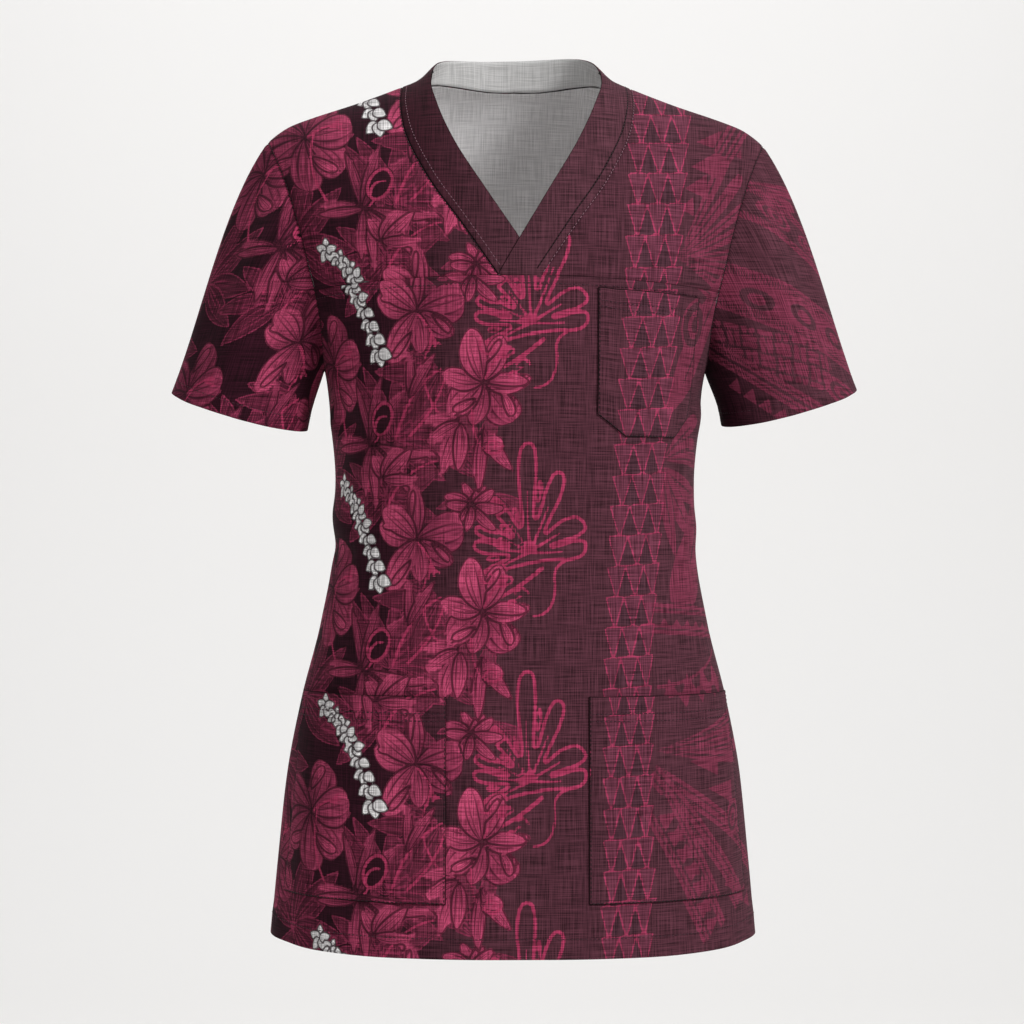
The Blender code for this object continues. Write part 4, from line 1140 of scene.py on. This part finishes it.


# everything that the cloth is printed with, at places in millimetres; parts names what the piece
# shows, shade is where the ground turns deep (on the sleeves, painted shade), rows are the column's
# top and pitch, and apart is the distance in metres to the nearest seam, which the finish darkens
# with painted shade
def drawPrint(x, y, apart, shift=(0.0, 0.0), parts=("flowers", "garland", "column", "figures"),
              shade=(-125, -5), strength=1.0, rows=(48.9, 22.95)):
    shape = np.shape(x)
    canvas = {"x": np.ravel(x) - shift[0], "y": np.ravel(y) - shift[1]}
    for field in printFields:
        canvas[field] = np.full(canvas["x"].shape, -9.0)
    for field in ("tone", "along", "aside", "quiet"):
        canvas[field] = np.full(canvas["x"].shape, 0.5)
    if "flowers" in parts:
        drawFlowers(canvas)
        # petal tones dimmed by strength and towards the wearer's right: painted shade for the wearer's right sleeve,
        # which also dims the body's petals there
        canvas["tone"] *= strength * (1 - 0.22 * (1 - ease(-205, -115, canvas["x"])))
    if "garland" in parts:
        garland(canvas, (-157, 335), (-124, 352), (-110, 406))
    if "column" in parts:
        triangleColumn(canvas, *rows)
    if "figures" in parts:
        quietFigures(canvas)
    if "sleeveFigures" in parts:
        sleeveFigures(canvas)
    canvas["deep"] = 1 - ease(shade[0], shade[1], canvas["x"])
    canvas["apart"] = np.minimum(1000 * np.ravel(np.broadcast_to(apart, shape)), 9)
    marks = {}
    for name, fields in printAttributes.items():
        marks[name] = np.stack([np.clip(canvas[field], -5, 9).reshape(shape) for field in fields],
                               axis=-1)
    return marks


# the fields that each attribute of a mesh holds
printAttributes = {
    "printA": petalFields, "printB": ("along", "aside", "tone"), "printC": ("column", "upright"),
    "printD": ("whiteA", "deep", "apart"), "printE": ("hollow", "line", "ghost"),
    "printF": ("whiteB", "whiteC", "quiet")}


# colours of the cloth, its print and its reverse side, as sRGB; the deeper reverse colour is the reverse in painted
# shade, used on the back of the band
clothColours = {
    "ground": "#482630", "groundDeep": "#290b17", "quiet": "#6d2a3f", "quietLine": "#7d2a45",
    "petalLow": "#4b162a", "petalHigh": "#ad4263", "darkLine": "#220a13", "brightLine": "#963050",
    "panel": "#6c3145", "upright": "#432630", "white": "#d9d7d6", "whiteLow": "#b9b5b6",
    "whiteLine": "#33282c", "plain": "#492932", "plainDeep": "#2a0713", "reverse": "#e4e2e2",
    "reverseInShade": "#c4c3c2"}
# the weave: thread spacing and length of a slub in millimetres, share by which threads differ from
# the dye on the face and on the reverse, and how strongly they are raised, in metres. Real threads
# lie 0.3 mm apart, too fine to show, so they are drawn at two and a half times that
weave = {"pitch": 0.74, "slub": 26.0, "contrast": 0.80, "reverseContrast": 0.24, "bump": 0.12,
         "raised": 0.0006}
clothFinish = {"Roughness": 0.88, "Specular IOR Level": 0.10, "Sheen Weight": 0.01,
               "Sheen Roughness": 0.6}
# distance from a seam, in millimetres, over which the painted seam shade darkens, and its darkest share
seamShadeRamp = {"From Min": 0.2, "From Max": 0.95, "To Min": 0.05, "To Max": 1.0}


# linen-look poplin of cotton and polyester: a plain weave of uneven threads, which show as fine
# slubs both ways, paler or deeper than the dye. Two noises, each stretched along its threads, are
# added and centred on 0
def weaveThreads(tree):
    place = addNode(tree, "ShaderNodeAttribute", attribute_name="fabric").outputs["Vector"]
    across, along = 1 / weave["pitch"], 1 / weave["slub"]
    threads = []
    for stretch in ((across, along, 1), (along, across, 1)):
        drawn = addNode(tree, "ShaderNodeVectorMath", {0: place, 1: stretch}, operation="MULTIPLY")
        noise = addNode(tree, "ShaderNodeTexNoise", {
            "Vector": drawn.outputs[0], "Scale": 1.0, "Detail": 1.0, "Roughness": 0.5},
            noise_dimensions="2D")
        threads.append(noise.outputs["Fac"])
    both = addNode(tree, "ShaderNodeMath", {0: threads[0], 1: threads[1]}, operation="ADD")
    return addNode(tree, "ShaderNodeMath", {0: both.outputs[0], 1: 1.0},
                   operation="SUBTRACT").outputs[0]


# finishes a cloth, matt with a trace of bloom: its colour is multiplied by a factor of the threads,
# which also raise it, and by one that falls within a millimetre of a seam: painted shade along the seam
def clothShader(tree, shader, colour, threads, apart, contrast):
    seamShadow = addNode(tree, "ShaderNodeMapRange", dict(seamShadeRamp, Value=apart),
                     interpolation_type="SMOOTHSTEP").outputs["Result"]
    factor = addNode(tree, "ShaderNodeMapRange", {
        "Value": threads, "From Min": -0.32, "From Max": 0.32, "To Min": 1 - 0.7 * contrast,
        "To Max": 1 + contrast}).outputs["Result"]
    factor = addNode(tree, "ShaderNodeMath", {0: factor, 1: seamShadow}, operation="MULTIPLY").outputs[0]
    scaled = addNode(tree, "ShaderNodeVectorMath", {0: colour, 3: factor}, operation="SCALE")
    tree.links.new(scaled.outputs[0], shader.inputs["Base Color"])
    bump = addNode(tree, "ShaderNodeBump", {"Height": threads, "Strength": weave["bump"],
                                            "Distance": weave["raised"]})
    tree.links.new(bump.outputs["Normal"], shader.inputs["Normal"])
    for key, value in clothFinish.items():
        shader.inputs[key].default_value = value


# sums over the print's fields, made in order: name, operation, then numbers, fields or earlier
# sums. Veins run where a petal's aside share is near 0.42 and near 0, and thin out along it; the
# tone is streaked by the noise; a quiet leaf is hardly filled
printSums = [
    ("wobble", "MULTIPLY", "threads", 0.9),
    ("petalTop", "MAXIMUM", "petalA", "petalB"), ("petalTop", "MAXIMUM", "petalTop", "petalC"),
    ("whiteTop", "MAXIMUM", "whiteA", "whiteB"), ("whiteTop", "MAXIMUM", "whiteTop", "whiteC"),
    ("sideWidth", "SUBTRACT", 0.9, "along"), ("sideWidth", "MULTIPLY", "sideWidth", 0.11),
    ("offSide", "ADD", "aside", 0.06), ("offSide", "ABSOLUTE", "offSide"),
    ("offSide", "SUBTRACT", "offSide", 0.42), ("offSide", "ABSOLUTE", "offSide"),
    ("sideVein", "SUBTRACT", "sideWidth", "offSide"),
    ("middleWidth", "SUBTRACT", 0.75, "along"), ("middleWidth", "MULTIPLY", "middleWidth", 0.09),
    ("offMiddle", "SUBTRACT", "aside", 0.04), ("offMiddle", "ABSOLUTE", "offMiddle"),
    ("middleVein", "SUBTRACT", "middleWidth", "offMiddle"),
    ("vein", "MAXIMUM", "sideVein", "middleVein"), ("vein", "MULTIPLY", "vein", 7.0),
    ("inPetal", "SUBTRACT", "petalTop", 1.2), ("vein", "MINIMUM", "vein", "inPetal"),
    ("streak", "SUBTRACT", "streak", 0.5), ("tone", "MULTIPLY_ADD", "streak", 0.9, "tone"),
    ("filled", "MULTIPLY", "quiet", 0.55), ("filled", "SUBTRACT", 1.0, "filled")]
# drawn edges inside shapes: half the edge's width less the distance from its middle line, and the
# largest of these where shapes touch
for edge, half, shapes in (("columnEdge", 0.40, ["column"]), ("hollowEdge", 1.2, ["hollow"]),
                           ("petalEdge", 0.40, petalFields), ("whiteEdge", 0.32, whiteFields)):
    for k, shape in enumerate(shapes):
        printSums += [("off", "SUBTRACT", shape, half), ("off", "ABSOLUTE", "off"),
                      ("off", "SUBTRACT", half, "off"), (edge, "MAXIMUM", edge if k else "off", "off")]
# paints that run from one colour to another by a field or sum
printBlends = (
    # the ground deepens by the deep field: painted shade on the sleeves; on the body and neckband darker towards the
    # wearer's right
    ("dyedGroundAndShade", "deep", "ground", "groundDeep"), ("petal", "tone", "petalLow", "petalHigh"),
    ("whitePetal", "along", "whiteLow", "white"), ("leafLine", "quiet", "darkLine", "quietLine"))
# layers from the ground up: shape, place of its edge and softness in millimetres, strength, paint
printLayers = (
    ("ghost", 0.0, 0.4, 0.80, "quiet"), ("upright", 0.0, 0.35, 0.85, "upright"),
    ("column", 0.0, 0.4, 0.50, "panel"), ("columnEdge", 0.0, 0.3, 0.68, "brightLine"),
    ("hollowEdge", 0.0, 0.4, 0.95, "brightLine"), ("petalTop", 0.0, 0.4, "filled", "petal"),
    ("petalEdge", 0.0, 0.3, 0.80, "leafLine"), ("vein", 0.0, 0.3, 0.70, "leafLine"),
    ("line", -0.1, 0.35, 0.95, "brightLine"), ("whiteTop", 0.1, 0.3, 1.0, "whitePetal"),
    ("whiteEdge", 0.0, 0.25, 0.92, "whiteLine"))


# poplin printed with dye: the layers of the print lie one over another, each with a soft woven
# edge, so the eye sees threads through every figure
def printedPoplin(name):
    material, tree, shader = newFinish(name)
    fields = {"threads": weaveThreads(tree)}
    for attribute, names in printAttributes.items():
        source = addNode(tree, "ShaderNodeAttribute", attribute_name=attribute)
        split = addNode(tree, "ShaderNodeSeparateXYZ", {0: source.outputs["Vector"]})
        fields.update(zip(names, split.outputs))
    petal = addNode(tree, "ShaderNodeCombineXYZ", {0: fields["aside"], 1: fields["along"]})
    drawn = addNode(tree, "ShaderNodeVectorMath", {0: petal.outputs[0], 1: (4.5, 1.3, 1.0)},
                    operation="MULTIPLY")                      # streaks run from a petal's foot
    fields["streak"] = addNode(tree, "ShaderNodeTexNoise", {
        "Vector": drawn.outputs[0], "Scale": 1.0, "Detail": 1.0}, noise_dimensions="2D").outputs["Fac"]
    for result, operation, *values in printSums:
        sockets = {k: fields.get(value, value) for k, value in enumerate(values)}
        fields[result] = addNode(tree, "ShaderNodeMath", sockets, operation=operation).outputs[0]
    paints = {key: hexToLinear(code) for key, code in clothColours.items()}
    for result, share, low, high in printBlends:
        paints[result] = addNode(tree, "ShaderNodeMix", {
            0: fields[share], 6: paints[low], 7: paints[high]}, data_type="RGBA").outputs[2]
    colour = paints["dyedGroundAndShade"]
    for shape, edge, soft, strength, paint in printLayers:
        inside = addNode(tree, "ShaderNodeMath", {0: fields[shape], 1: fields["wobble"]},
                         operation="ADD").outputs[0]
        cover = addNode(tree, "ShaderNodeMapRange", {
            "Value": inside, "From Min": edge - soft, "From Max": edge + soft,
            "To Max": fields.get(strength, strength)}, interpolation_type="SMOOTHSTEP")
        colour = addNode(tree, "ShaderNodeMix", {
            0: cover.outputs["Result"], 6: colour, 7: paints[paint]}, data_type="RGBA").outputs[2]
    clothShader(tree, shader, colour, fields["threads"], fields["apart"], weave["contrast"])
    return material


# the same cloth without figures, or its reverse, where the dye hardly shows; on the neckband the
# colour darkens towards the wearer's right, by the same field as the print's ground
def plainPoplin(name, code, deepCode, contrast):
    material, tree, shader = newFinish(name)
    threads = weaveThreads(tree)
    source = addNode(tree, "ShaderNodeAttribute", attribute_name="printD")
    split = addNode(tree, "ShaderNodeSeparateXYZ", {0: source.outputs["Vector"]})
    deep, apart = split.outputs[1:]
    colour = addNode(tree, "ShaderNodeMix", {
        0: deep, 6: hexToLinear(code), 7: hexToLinear(deepCode)}, data_type="RGBA").outputs[2]
    clothShader(tree, shader, colour, threads, apart, contrast)
    return material


# sewing, in metres: stitches from start to start, their length and half thickness, and how far they
# sink in. A bead of thread has three rings of four points: (share of its length, share of its width)
sewing = {"pitch": 0.0034, "length": 0.0026, "radius": 0.00042, "sunk": 0.00010,
          "rings": ((-0.32, 0.8), (0.0, 1.0), (0.32, 0.8)),
          "round": ((1, 0), (0, 1), (-1, 0), (0, -1))}


# spun polyester sewing thread, smooth and matt: a little paler where its twist turns to the light
def sewingThread(name, code, turnedCode):
    material, tree, shader = newFinish(name)
    place = addNode(tree, "ShaderNodeTexCoord").outputs["Object"]
    twist = addNode(tree, "ShaderNodeTexNoise", {"Vector": place, "Scale": 900.0, "Detail": 1.0})
    colour = addNode(tree, "ShaderNodeMix", {
        0: twist.outputs["Fac"], 6: hexToLinear(code), 7: hexToLinear(turnedCode)},
        data_type="RGBA").outputs[2]
    tree.links.new(colour, shader.inputs["Base Color"])
    shader.inputs["Roughness"].default_value = 0.6
    shader.inputs["Specular IOR Level"].default_value = 0.3
    return material


# stitches along rows of (points, outward directions): even steps of length along each row; a
# stitch is a bead whose rings follow the row's direction, the outward one and their cross
def stitchRows(name, rows, material):
    centres, ways, outs = [], [], []
    for points, outward in rows:
        run = np.linalg.norm(np.diff(points, axis=0), axis=-1)
        length = np.pad(np.cumsum(run), (1, 0))
        count = int(length[-1] / sewing["pitch"])
        at = (np.arange(count) + 0.5) / count * length[-1]
        ends = [np.stack([np.interp(np.clip(at + d * sewing["length"] / 2, 0, length[-1]), length,
                                    points[:, k]) for k in range(3)], axis=-1) for d in (-1, 1)]
        out = unit(np.stack([np.interp(at, length, outward[:, k]) for k in range(3)], axis=-1))
        centres.append((ends[0] + ends[1]) / 2 - sewing["sunk"] * out)
        ways.append(unit(ends[1] - ends[0]))
        outs.append(out)
    centre, way, out = np.concatenate(centres), np.concatenate(ways), np.concatenate(outs)
    side = unit(np.cross(way, out))
    out = np.cross(side, way)
    points = [centre - way * sewing["length"] * 0.5]
    for share, wide in sewing["rings"]:
        for a, b in sewing["round"]:
            points.append(centre + way * sewing["length"] * share
                          + sewing["radius"] * wide * (a * side + b * out))
    points.append(centre + way * sewing["length"] * 0.5)
    points = np.stack(points, axis=1).reshape(-1, 3)
    faces = []
    for k in range(4):                    # a triangle at each end repeats its last point
        j = (k + 1) % 4
        faces.append((0, 1 + k, 1 + j, 1 + j))
        faces.append((1 + k, 5 + k, 5 + j, 1 + j))
        faces.append((5 + k, 9 + k, 9 + j, 5 + j))
        faces.append((9 + k, 13, 9 + j, 9 + j))
    whole = (np.array(faces)[None] + 14 * np.arange(len(centre))[:, None, None]).reshape(-1, 4)
    faces = [face[:3] if face[2] == face[3] else face for face in whole.tolist()]
    piece = addPiece(name, points.tolist(), faces, [material])
    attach(piece, "root")
    print("sewn", name, "with", len(centre), "stitches")
    return piece


# a row on the torso, with its outward directions: towards the same points half a millimetre out
def torsoRow(angle, level, side, raised=0.0):
    angle, level = np.broadcast_arrays(np.asarray(angle, float), np.asarray(level, float))
    points = foldedTorso(angle, level, side, raised)
    return points, unit(foldedTorso(angle, level, side, raised + 0.0005) - points)


# a row on a pocket, just over its cloth
def pocketRow(hand, size, across, down):
    across, down = np.broadcast_arrays(np.asarray(across, float), np.asarray(down, float))
    angle, level = pocketPlace(hand, size, across, down)
    return torsoRow(angle, level, front, pocketRaised(size, across, down) + 0.0001)


# place on the cloth in millimetres: across from the middle, and down
def clothPlace(angle, level, side):
    return np.stack([1000 * clothAcross(angle, level, side),
                     -1000 * torso(angle, level, side)[..., 2]], axis=-1)


# a piece of cloth with its body, its solid and its finish
def clothPiece(name, node, outer, normal, wall, fabric, marks, materials, cut, ring=False,
               restsOn=(), turned=("first", "last", "left", "right")):
    piece = clothShell(name, outer, normal, wall, fabric, marks, materials, ring, turned)
    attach(piece, "root")
    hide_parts(node)
    print("made", name, "with", len(piece.data.polygons), "faces")
    return piece


# small puckers beside a row of stitches, in metres: a sine along it, made uneven by a slower one,
# under a bell across it
def puckers(along, apart, height=0.00020, wave=0.0105, reach=0.0042):
    ripple = np.sin(along * 2 * np.pi / wave + 1.7 * np.sin(along * 2 * np.pi / (3.7 * wave)))
    return height * (ripple - 0.6) * np.exp(-(apart / reach) ** 2)


# wall of a body piece: two layers where the hem is turned up
def hemWall(level):
    turned = level < body["hem"] + body["hemDepth"]
    return (cloth["wall"] + cloth["hemExtra"] * turned)[..., None]


# length of cloth down each column of a grid, in millimetres: its chords added up
def lengthDown(grid):
    run = np.linalg.norm(np.diff(grid, axis=0), axis=-1)
    return 1000 * np.pad(np.cumsum(run, axis=0), ((1, 0), (0, 0)))


# a piece on the torso: its folded grid, turned in along its seams, with its print. On the back the
# print runs with the length of the cloth, and the top edge isn't turned in
def torsoPiece(name, node, angle, level, side, sides, materials, cut, relief=0.0, paintedGrooveShade=None,
               **more):
    grid = foldedTorso(angle, level, side, relief)
    normal = gridNormals(grid)
    place = clothPlace(angle, level, side)
    if side == back:
        place[..., 1] = -1000 * body["hem"] - lengthDown(grid)
    # distance from the seams, for the painted shade along them
    apart = fromSides(grid, sides) + seamShade["body"]
    # painted shade along the band's grooves, where they are given
    if paintedGrooveShade is not None:
        apart = np.minimum(apart, paintedGrooveShade)
    marks = drawPrint(place[..., 0], place[..., 1], apart, **cut["print"])
    grid = turnIn(grid, normal, [edge for edge in sides if edge != "last" or side == front])
    return clothPiece(name, node, grid, normal, hemWall(level), place, marks, materials, cut,
                      **more)


printed = printedPoplin("printedPoplin")
plain = plainPoplin("plainPoplin", clothColours["plain"], clothColours["plainDeep"],
                    weave["contrast"])
reverse = plainPoplin("poplinReverse", clothColours["reverse"], clothColours["reverse"],
                      weave["reverseContrast"])
# the back of the band's reverse: the same cloth, painted darker as shade
shadedBandReverse = plainPoplin("shadedBandReverse", clothColours["reverseInShade"], clothColours["reverseInShade"],
                          weave["reverseContrast"])
darkThread = sewingThread("darkThread", "#12060b", "#27111a")
softThread = sewingThread("softThread", "#2c121d", "#47222f")
# pale thread for the band's stitch rows: its paleness is a painted highlight
paleHighlightThread = sewingThread("paleHighlightThread", "#6d4854", "#85606c")
print("made the finishes: printed and plain poplin, their reverse, and three threads")
# distance in metres that the painted shade along a seam keeps from the edge, so it stays thin: on the
# body, round a sleeve, on the back band, and on the front band at its seam row and at its free edge
seamShade = {"body": 0.00045, "sleeve": 0.0003, "backBand": 0.0003, "bandRow": 0.00010,
             "bandEdge": 0.00025}

# lower front: hem stitched up, and a row of stitches under the chest seam, both with small puckers
angle, level = frontGrid(frontBody["spacing"])
hemRow, chestRow = body["hem"] + body["hemDepth"], frontBody["chestRow"]
reach, _, height = np.moveaxis(torso(angle, level, front), -1, 0)
along = clothAcross(angle, level, front)
relief = puckers(along, level - hemRow)
relief = relief + puckers(along, height - yokeSeamHeight(reach) + chestRow)
torsoPiece("frontBody", "front_body", angle, level, front, ["left", "right", "last"],
           [printed, reverse], frontBody, relief)
turns = np.linspace(-np.pi / 2, np.pi / 2, 260)
across = np.linspace(-armReachAtSeam, armReachAtSeam, 220)
chest = levelOf(across, yokeSeamHeight(across) - chestRow)
stitchRows("frontBodyStitches", [torsoRow(turns, hemRow, front),
                                 torsoRow(angleTo(across, chest), chest, front)], softThread)

# back: hem stitched up
angle, level = backGrid(backBody["spacing"])
along = clothAcross(angle, level, back)
torsoPiece("backBody", "back_body", angle, level, back, ["left", "right", "last"],
           [printed, reverse], backBody, puckers(along, level - hemRow),
           turned=("first", "left", "right"))
stitchRows("backBodyStitches", [torsoRow(turns, hemRow, back)], softThread)

for hand, word in ((-1, "Right"), (1, "Left")):
    angle, level = yokeGrid(hand, frontYoke["spacing"])
    torsoPiece("frontYoke" + word, "front_yoke_" + word.lower(), angle, level, front,
               ["first", "last", "left", "right"], [printed, reverse], frontYoke)

    # half of the band: a fine painted shade along the row where it is sewn, but not in the crossed
    # point, and one along its free edge
    spacing, bandCut = frontBand["spacing"], frontBand[word]
    angle, level = frontBandGrid(hand, hand > 0, spacing)
    sewnAt = 0.0 if hand < 0 else frontBand["row"]
    fromRow = np.abs(bandShares(spacing) - sewnAt) * frontBand["width"]
    pastTip = np.arange(len(angle)) >= len(places(frontBand["length"], spacing))
    fromRow = fromRow + np.where(pastTip, 0.01, 0)[:, None]
    fromEdge = fromSides(foldedTorso(angle, level, front), ["right"])
    paintedGrooveShade = np.minimum(fromRow + seamShade["bandRow"], fromEdge + seamShade["bandEdge"])
    torsoPiece("neckband" + word, "neckband_" + word.lower(), angle, level, front,
               ["first", "last", "left"], [plain, reverse], bandCut, paintedGrooveShade=paintedGrooveShade)
    # band: a dark row in its seam and a pale one inside it; on the wearer's left the other way. The stitches are
    # real, but their dark and pale threads are painted shadow and painted highlight, swapped between the sides as the
    # light falls
    share = np.linspace(0.01, 0.99, 160)
    edges = {key: neck(key, share, hand) for key in neckColumns[1:]}
    rows = []
    for t in ((-0.02, frontBand["row"]) if hand < 0 else (frontBand["row"], -0.02)):
        out = edges["seamReach"] * (1 - t) + edges["innerReach"] * t
        lift = edges["seamHeight"] * (1 - t) + edges["innerHeight"] * t
        across = levelOf(out, lift)
        rows.append(torsoRow(hand * angleTo(out, across), across, front))
    # armhole: one row on the body beside the sleeve
    share = np.linspace(0.0, 0.995, 150)
    for side in (front, back):
        beside = armholeAngle(share, side) - sleeve["stitchedBeside"]
        rows.append(torsoRow(hand * beside, levelAt(share), side))
    stitchRows("seamStitches" + word, rows[:1] + rows[2:], darkThread)
    stitchRows("neckbandStitches" + word, rows[1:2], paleHighlightThread)

    # sleeve: drawn for the wearer's left and mirrored; the print runs round it both ways from the
    # shoulder line
    outer, wall, place = sleevePoints(hand, sleeve["spacing"])
    normal = gridNormals(outer, True, outer.mean(axis=1, keepdims=True))
    fromHole = lengthDown(outer) / 1000
    near = np.exp(-(fromHole / cloth["seamReach"]) ** 2)[..., None]
    run = np.linalg.norm(np.diff(outer, axis=1), axis=-1)
    along = np.pad(np.cumsum(run, axis=1), ((0, 0), (1, 0)))
    cuffAt = fromHole[-1:] - fromHole - sleeve["cuff"]
    outer = outer + puckers(along, cuffAt)[..., None] * normal - cloth["seamDip"] * near * wall
    mirror = np.array([hand, 1, 1])
    turned = np.broadcast_to(sleeve["radius"] * place, outer.shape[:2])
    fabric = np.stack([turned, -1000 * outer[..., 2]], axis=-1)
    across = sleeve["printAt"][hand] - hand * (np.abs(turned) - sleeve["radius"] * np.pi / 2)
    wall = np.where(cuffAt < 0, cloth["wall"] + cloth["hemExtra"], cloth["wall"])[..., None]
    marks = drawPrint(across, -1000 * outer[..., 2], fromHole + seamShade["sleeve"],
                      **sleeve["print"][hand])
    clothPiece("sleeve" + word, "sleeve_" + word.lower(), outer * mirror, normal * mirror, wall,
               fabric, marks, [printed, reverse], sleeve, ring=True)
    k = np.abs(cuffAt[:, 0]).argmin()
    row = [np.concatenate([grid[k], grid[k, :1]]) * mirror for grid in (outer, normal)]
    stitchRows("cuffStitches" + word, [row], softThread)

# pockets: a fold all round sewn down, two rows across the top hem
for name, node, hand, size in (("pocketRight", "pocket_right", -1, lowPocket),
                               ("pocketLeft", "pocket_left", 1, lowPocket),
                               ("chestPocket", "chest_pocket", 1, chestPocket)):
    across, down = pocketGrid(size)
    angle, level = pocketPlace(hand, size, across, down)
    width, depth = size["outerBottom"] - size["inner"], size["top"] - size["bottom"]
    raised = pocketRaised(size, across, down)
    for rowDown in size["rows"]:
        raised = raised + puckers(across * width, down * depth - rowDown, 0.00014)
    grid = foldedTorso(angle, level, front, raised)
    place = clothPlace(angle, level, front)
    # distance from the pocket's sides, for the painted shade along its edges
    apart = fromSides(grid, ["first", "last", "left", "right"])
    clothPiece(name, node, grid, gridNormals(grid), np.full((1, 1, 1), cloth["wall"]),
               np.stack([place[..., 0], lengthDown(grid)], axis=-1),
               drawPrint(place[..., 0], place[..., 1], apart, **size["print"]), [printed, reverse],
               size, restsOn=["frontBody"])
    s = np.linspace(0, 1, 120)
    inX, inY = size["stitchedIn"] / width, size["stitchedIn"] / depth
    rows = [pocketRow(hand, size, inX, s * (1 - inY)), pocketRow(hand, size, 1 - inX, s * (1 - inY))]
    rows += [pocketRow(hand, size, inX + s * (1 - 2 * inX), at)
             for at in (1 - inY, *(rowDown / depth for rowDown in size["rows"]))]
    stitchRows(name + "Stitches", rows[:3], darkThread)
    stitchRows(name + "HemStitches", rows[3:], softThread)

# back of the band, with one row of stitches near its seam
grid = backBandPoints(backBand["spacing"])
normal = gridNormals(grid)
apart = fromSides(grid, ["first", "left", "right"])
grid = turnIn(grid, normal, ["left", "right"], backBand["endDip"])
clothPiece("neckbandBack", "neckband_back", grid, normal, np.full((1, 1, 1), cloth["wall"]),
           np.stack([1000 * grid[..., 0], lengthDown(grid)], axis=-1),
           drawPrint(1000 * grid[..., 0], 1000 * grid[..., 2], apart + seamShade["backBand"],
                     **backBand["print"]),
           [plain, shadedBandReverse], backBand, turned=())
stitchRows("neckbandBackStitches", [(grid[backBand["stitchedRow"]], normal[backBand["stitchedRow"]])],
           softThread)

# painted studio floor, matt and pale, that curves up into a wall far behind
studio = {"floor": "#f7f6f5", "world": 0.42, "depth": 3.2, "round": 1.2, "level": -1.30,
          "half": 9.0, "top": 6.0}
lights = (                    # name, place, target, size, watts
    ("keyLight", (1.7, -1.8, 1.0), (0.0, 0.0, -0.35), 0.8, 50.0),
    ("topLight", (0.1, -0.9, 1.8), (0.0, 0.0, -0.20), 1.0, 3.0),
    ("wallLight", (0.0, 1.2, 2.6), (0.0, 4.4, -0.4), 3.0, 74.0))
floorMaterial, _, floorShader = newFinish("paleFloorPaint")
floorShader.inputs["Base Color"].default_value = hexToLinear(studio["floor"])
floorShader.inputs["Roughness"].default_value = 0.95
floorShader.inputs["Specular IOR Level"].default_value = 0.1
turned = np.linspace(0, np.pi / 2, 17)
bend = np.stack([studio["depth"] + studio["round"] * np.sin(turned),
                 studio["level"] + studio["round"] * (1 - np.cos(turned))], axis=-1)
profile = np.concatenate([[[-studio["half"], studio["level"]]], bend,
                          [[studio["depth"] + studio["round"], studio["top"]]]])
sweep = [[x, y, z] for y, z in profile.tolist() for x in (-studio["half"], studio["half"])]
k = np.arange(len(profile) - 1)
quads = np.stack([2 * k, 2 * k + 1, 2 * k + 3, 2 * k + 2], axis=-1)
floor = addPiece("floor", sweep, quads.tolist(), [floorMaterial])
bpy.context.scene.view_settings.view_transform = "Standard"
world = bpy.data.worlds.new("studio")
bpy.context.scene.world = world
world.use_nodes = True
world.node_tree.nodes["Background"].inputs["Color"].default_value = (1, 1, 1, 1)
world.node_tree.nodes["Background"].inputs["Strength"].default_value = studio["world"]
for name, place, target, size, power in lights:
    data = bpy.data.lights.new(name, "AREA")
    data.size, data.energy = size, power
    lamp = bpy.data.objects.new(name, data)
    bpy.context.scene.collection.objects.link(lamp)
    lamp.location = place
    aim = np.array(target) - np.array(place)
    lamp.rotation_euler = (np.arccos(-aim[2] / np.linalg.norm(aim)), 0,
                           np.arctan2(aim[1], aim[0]) - np.pi / 2)
print("set the floor, the wall and", len(lights), "lights")
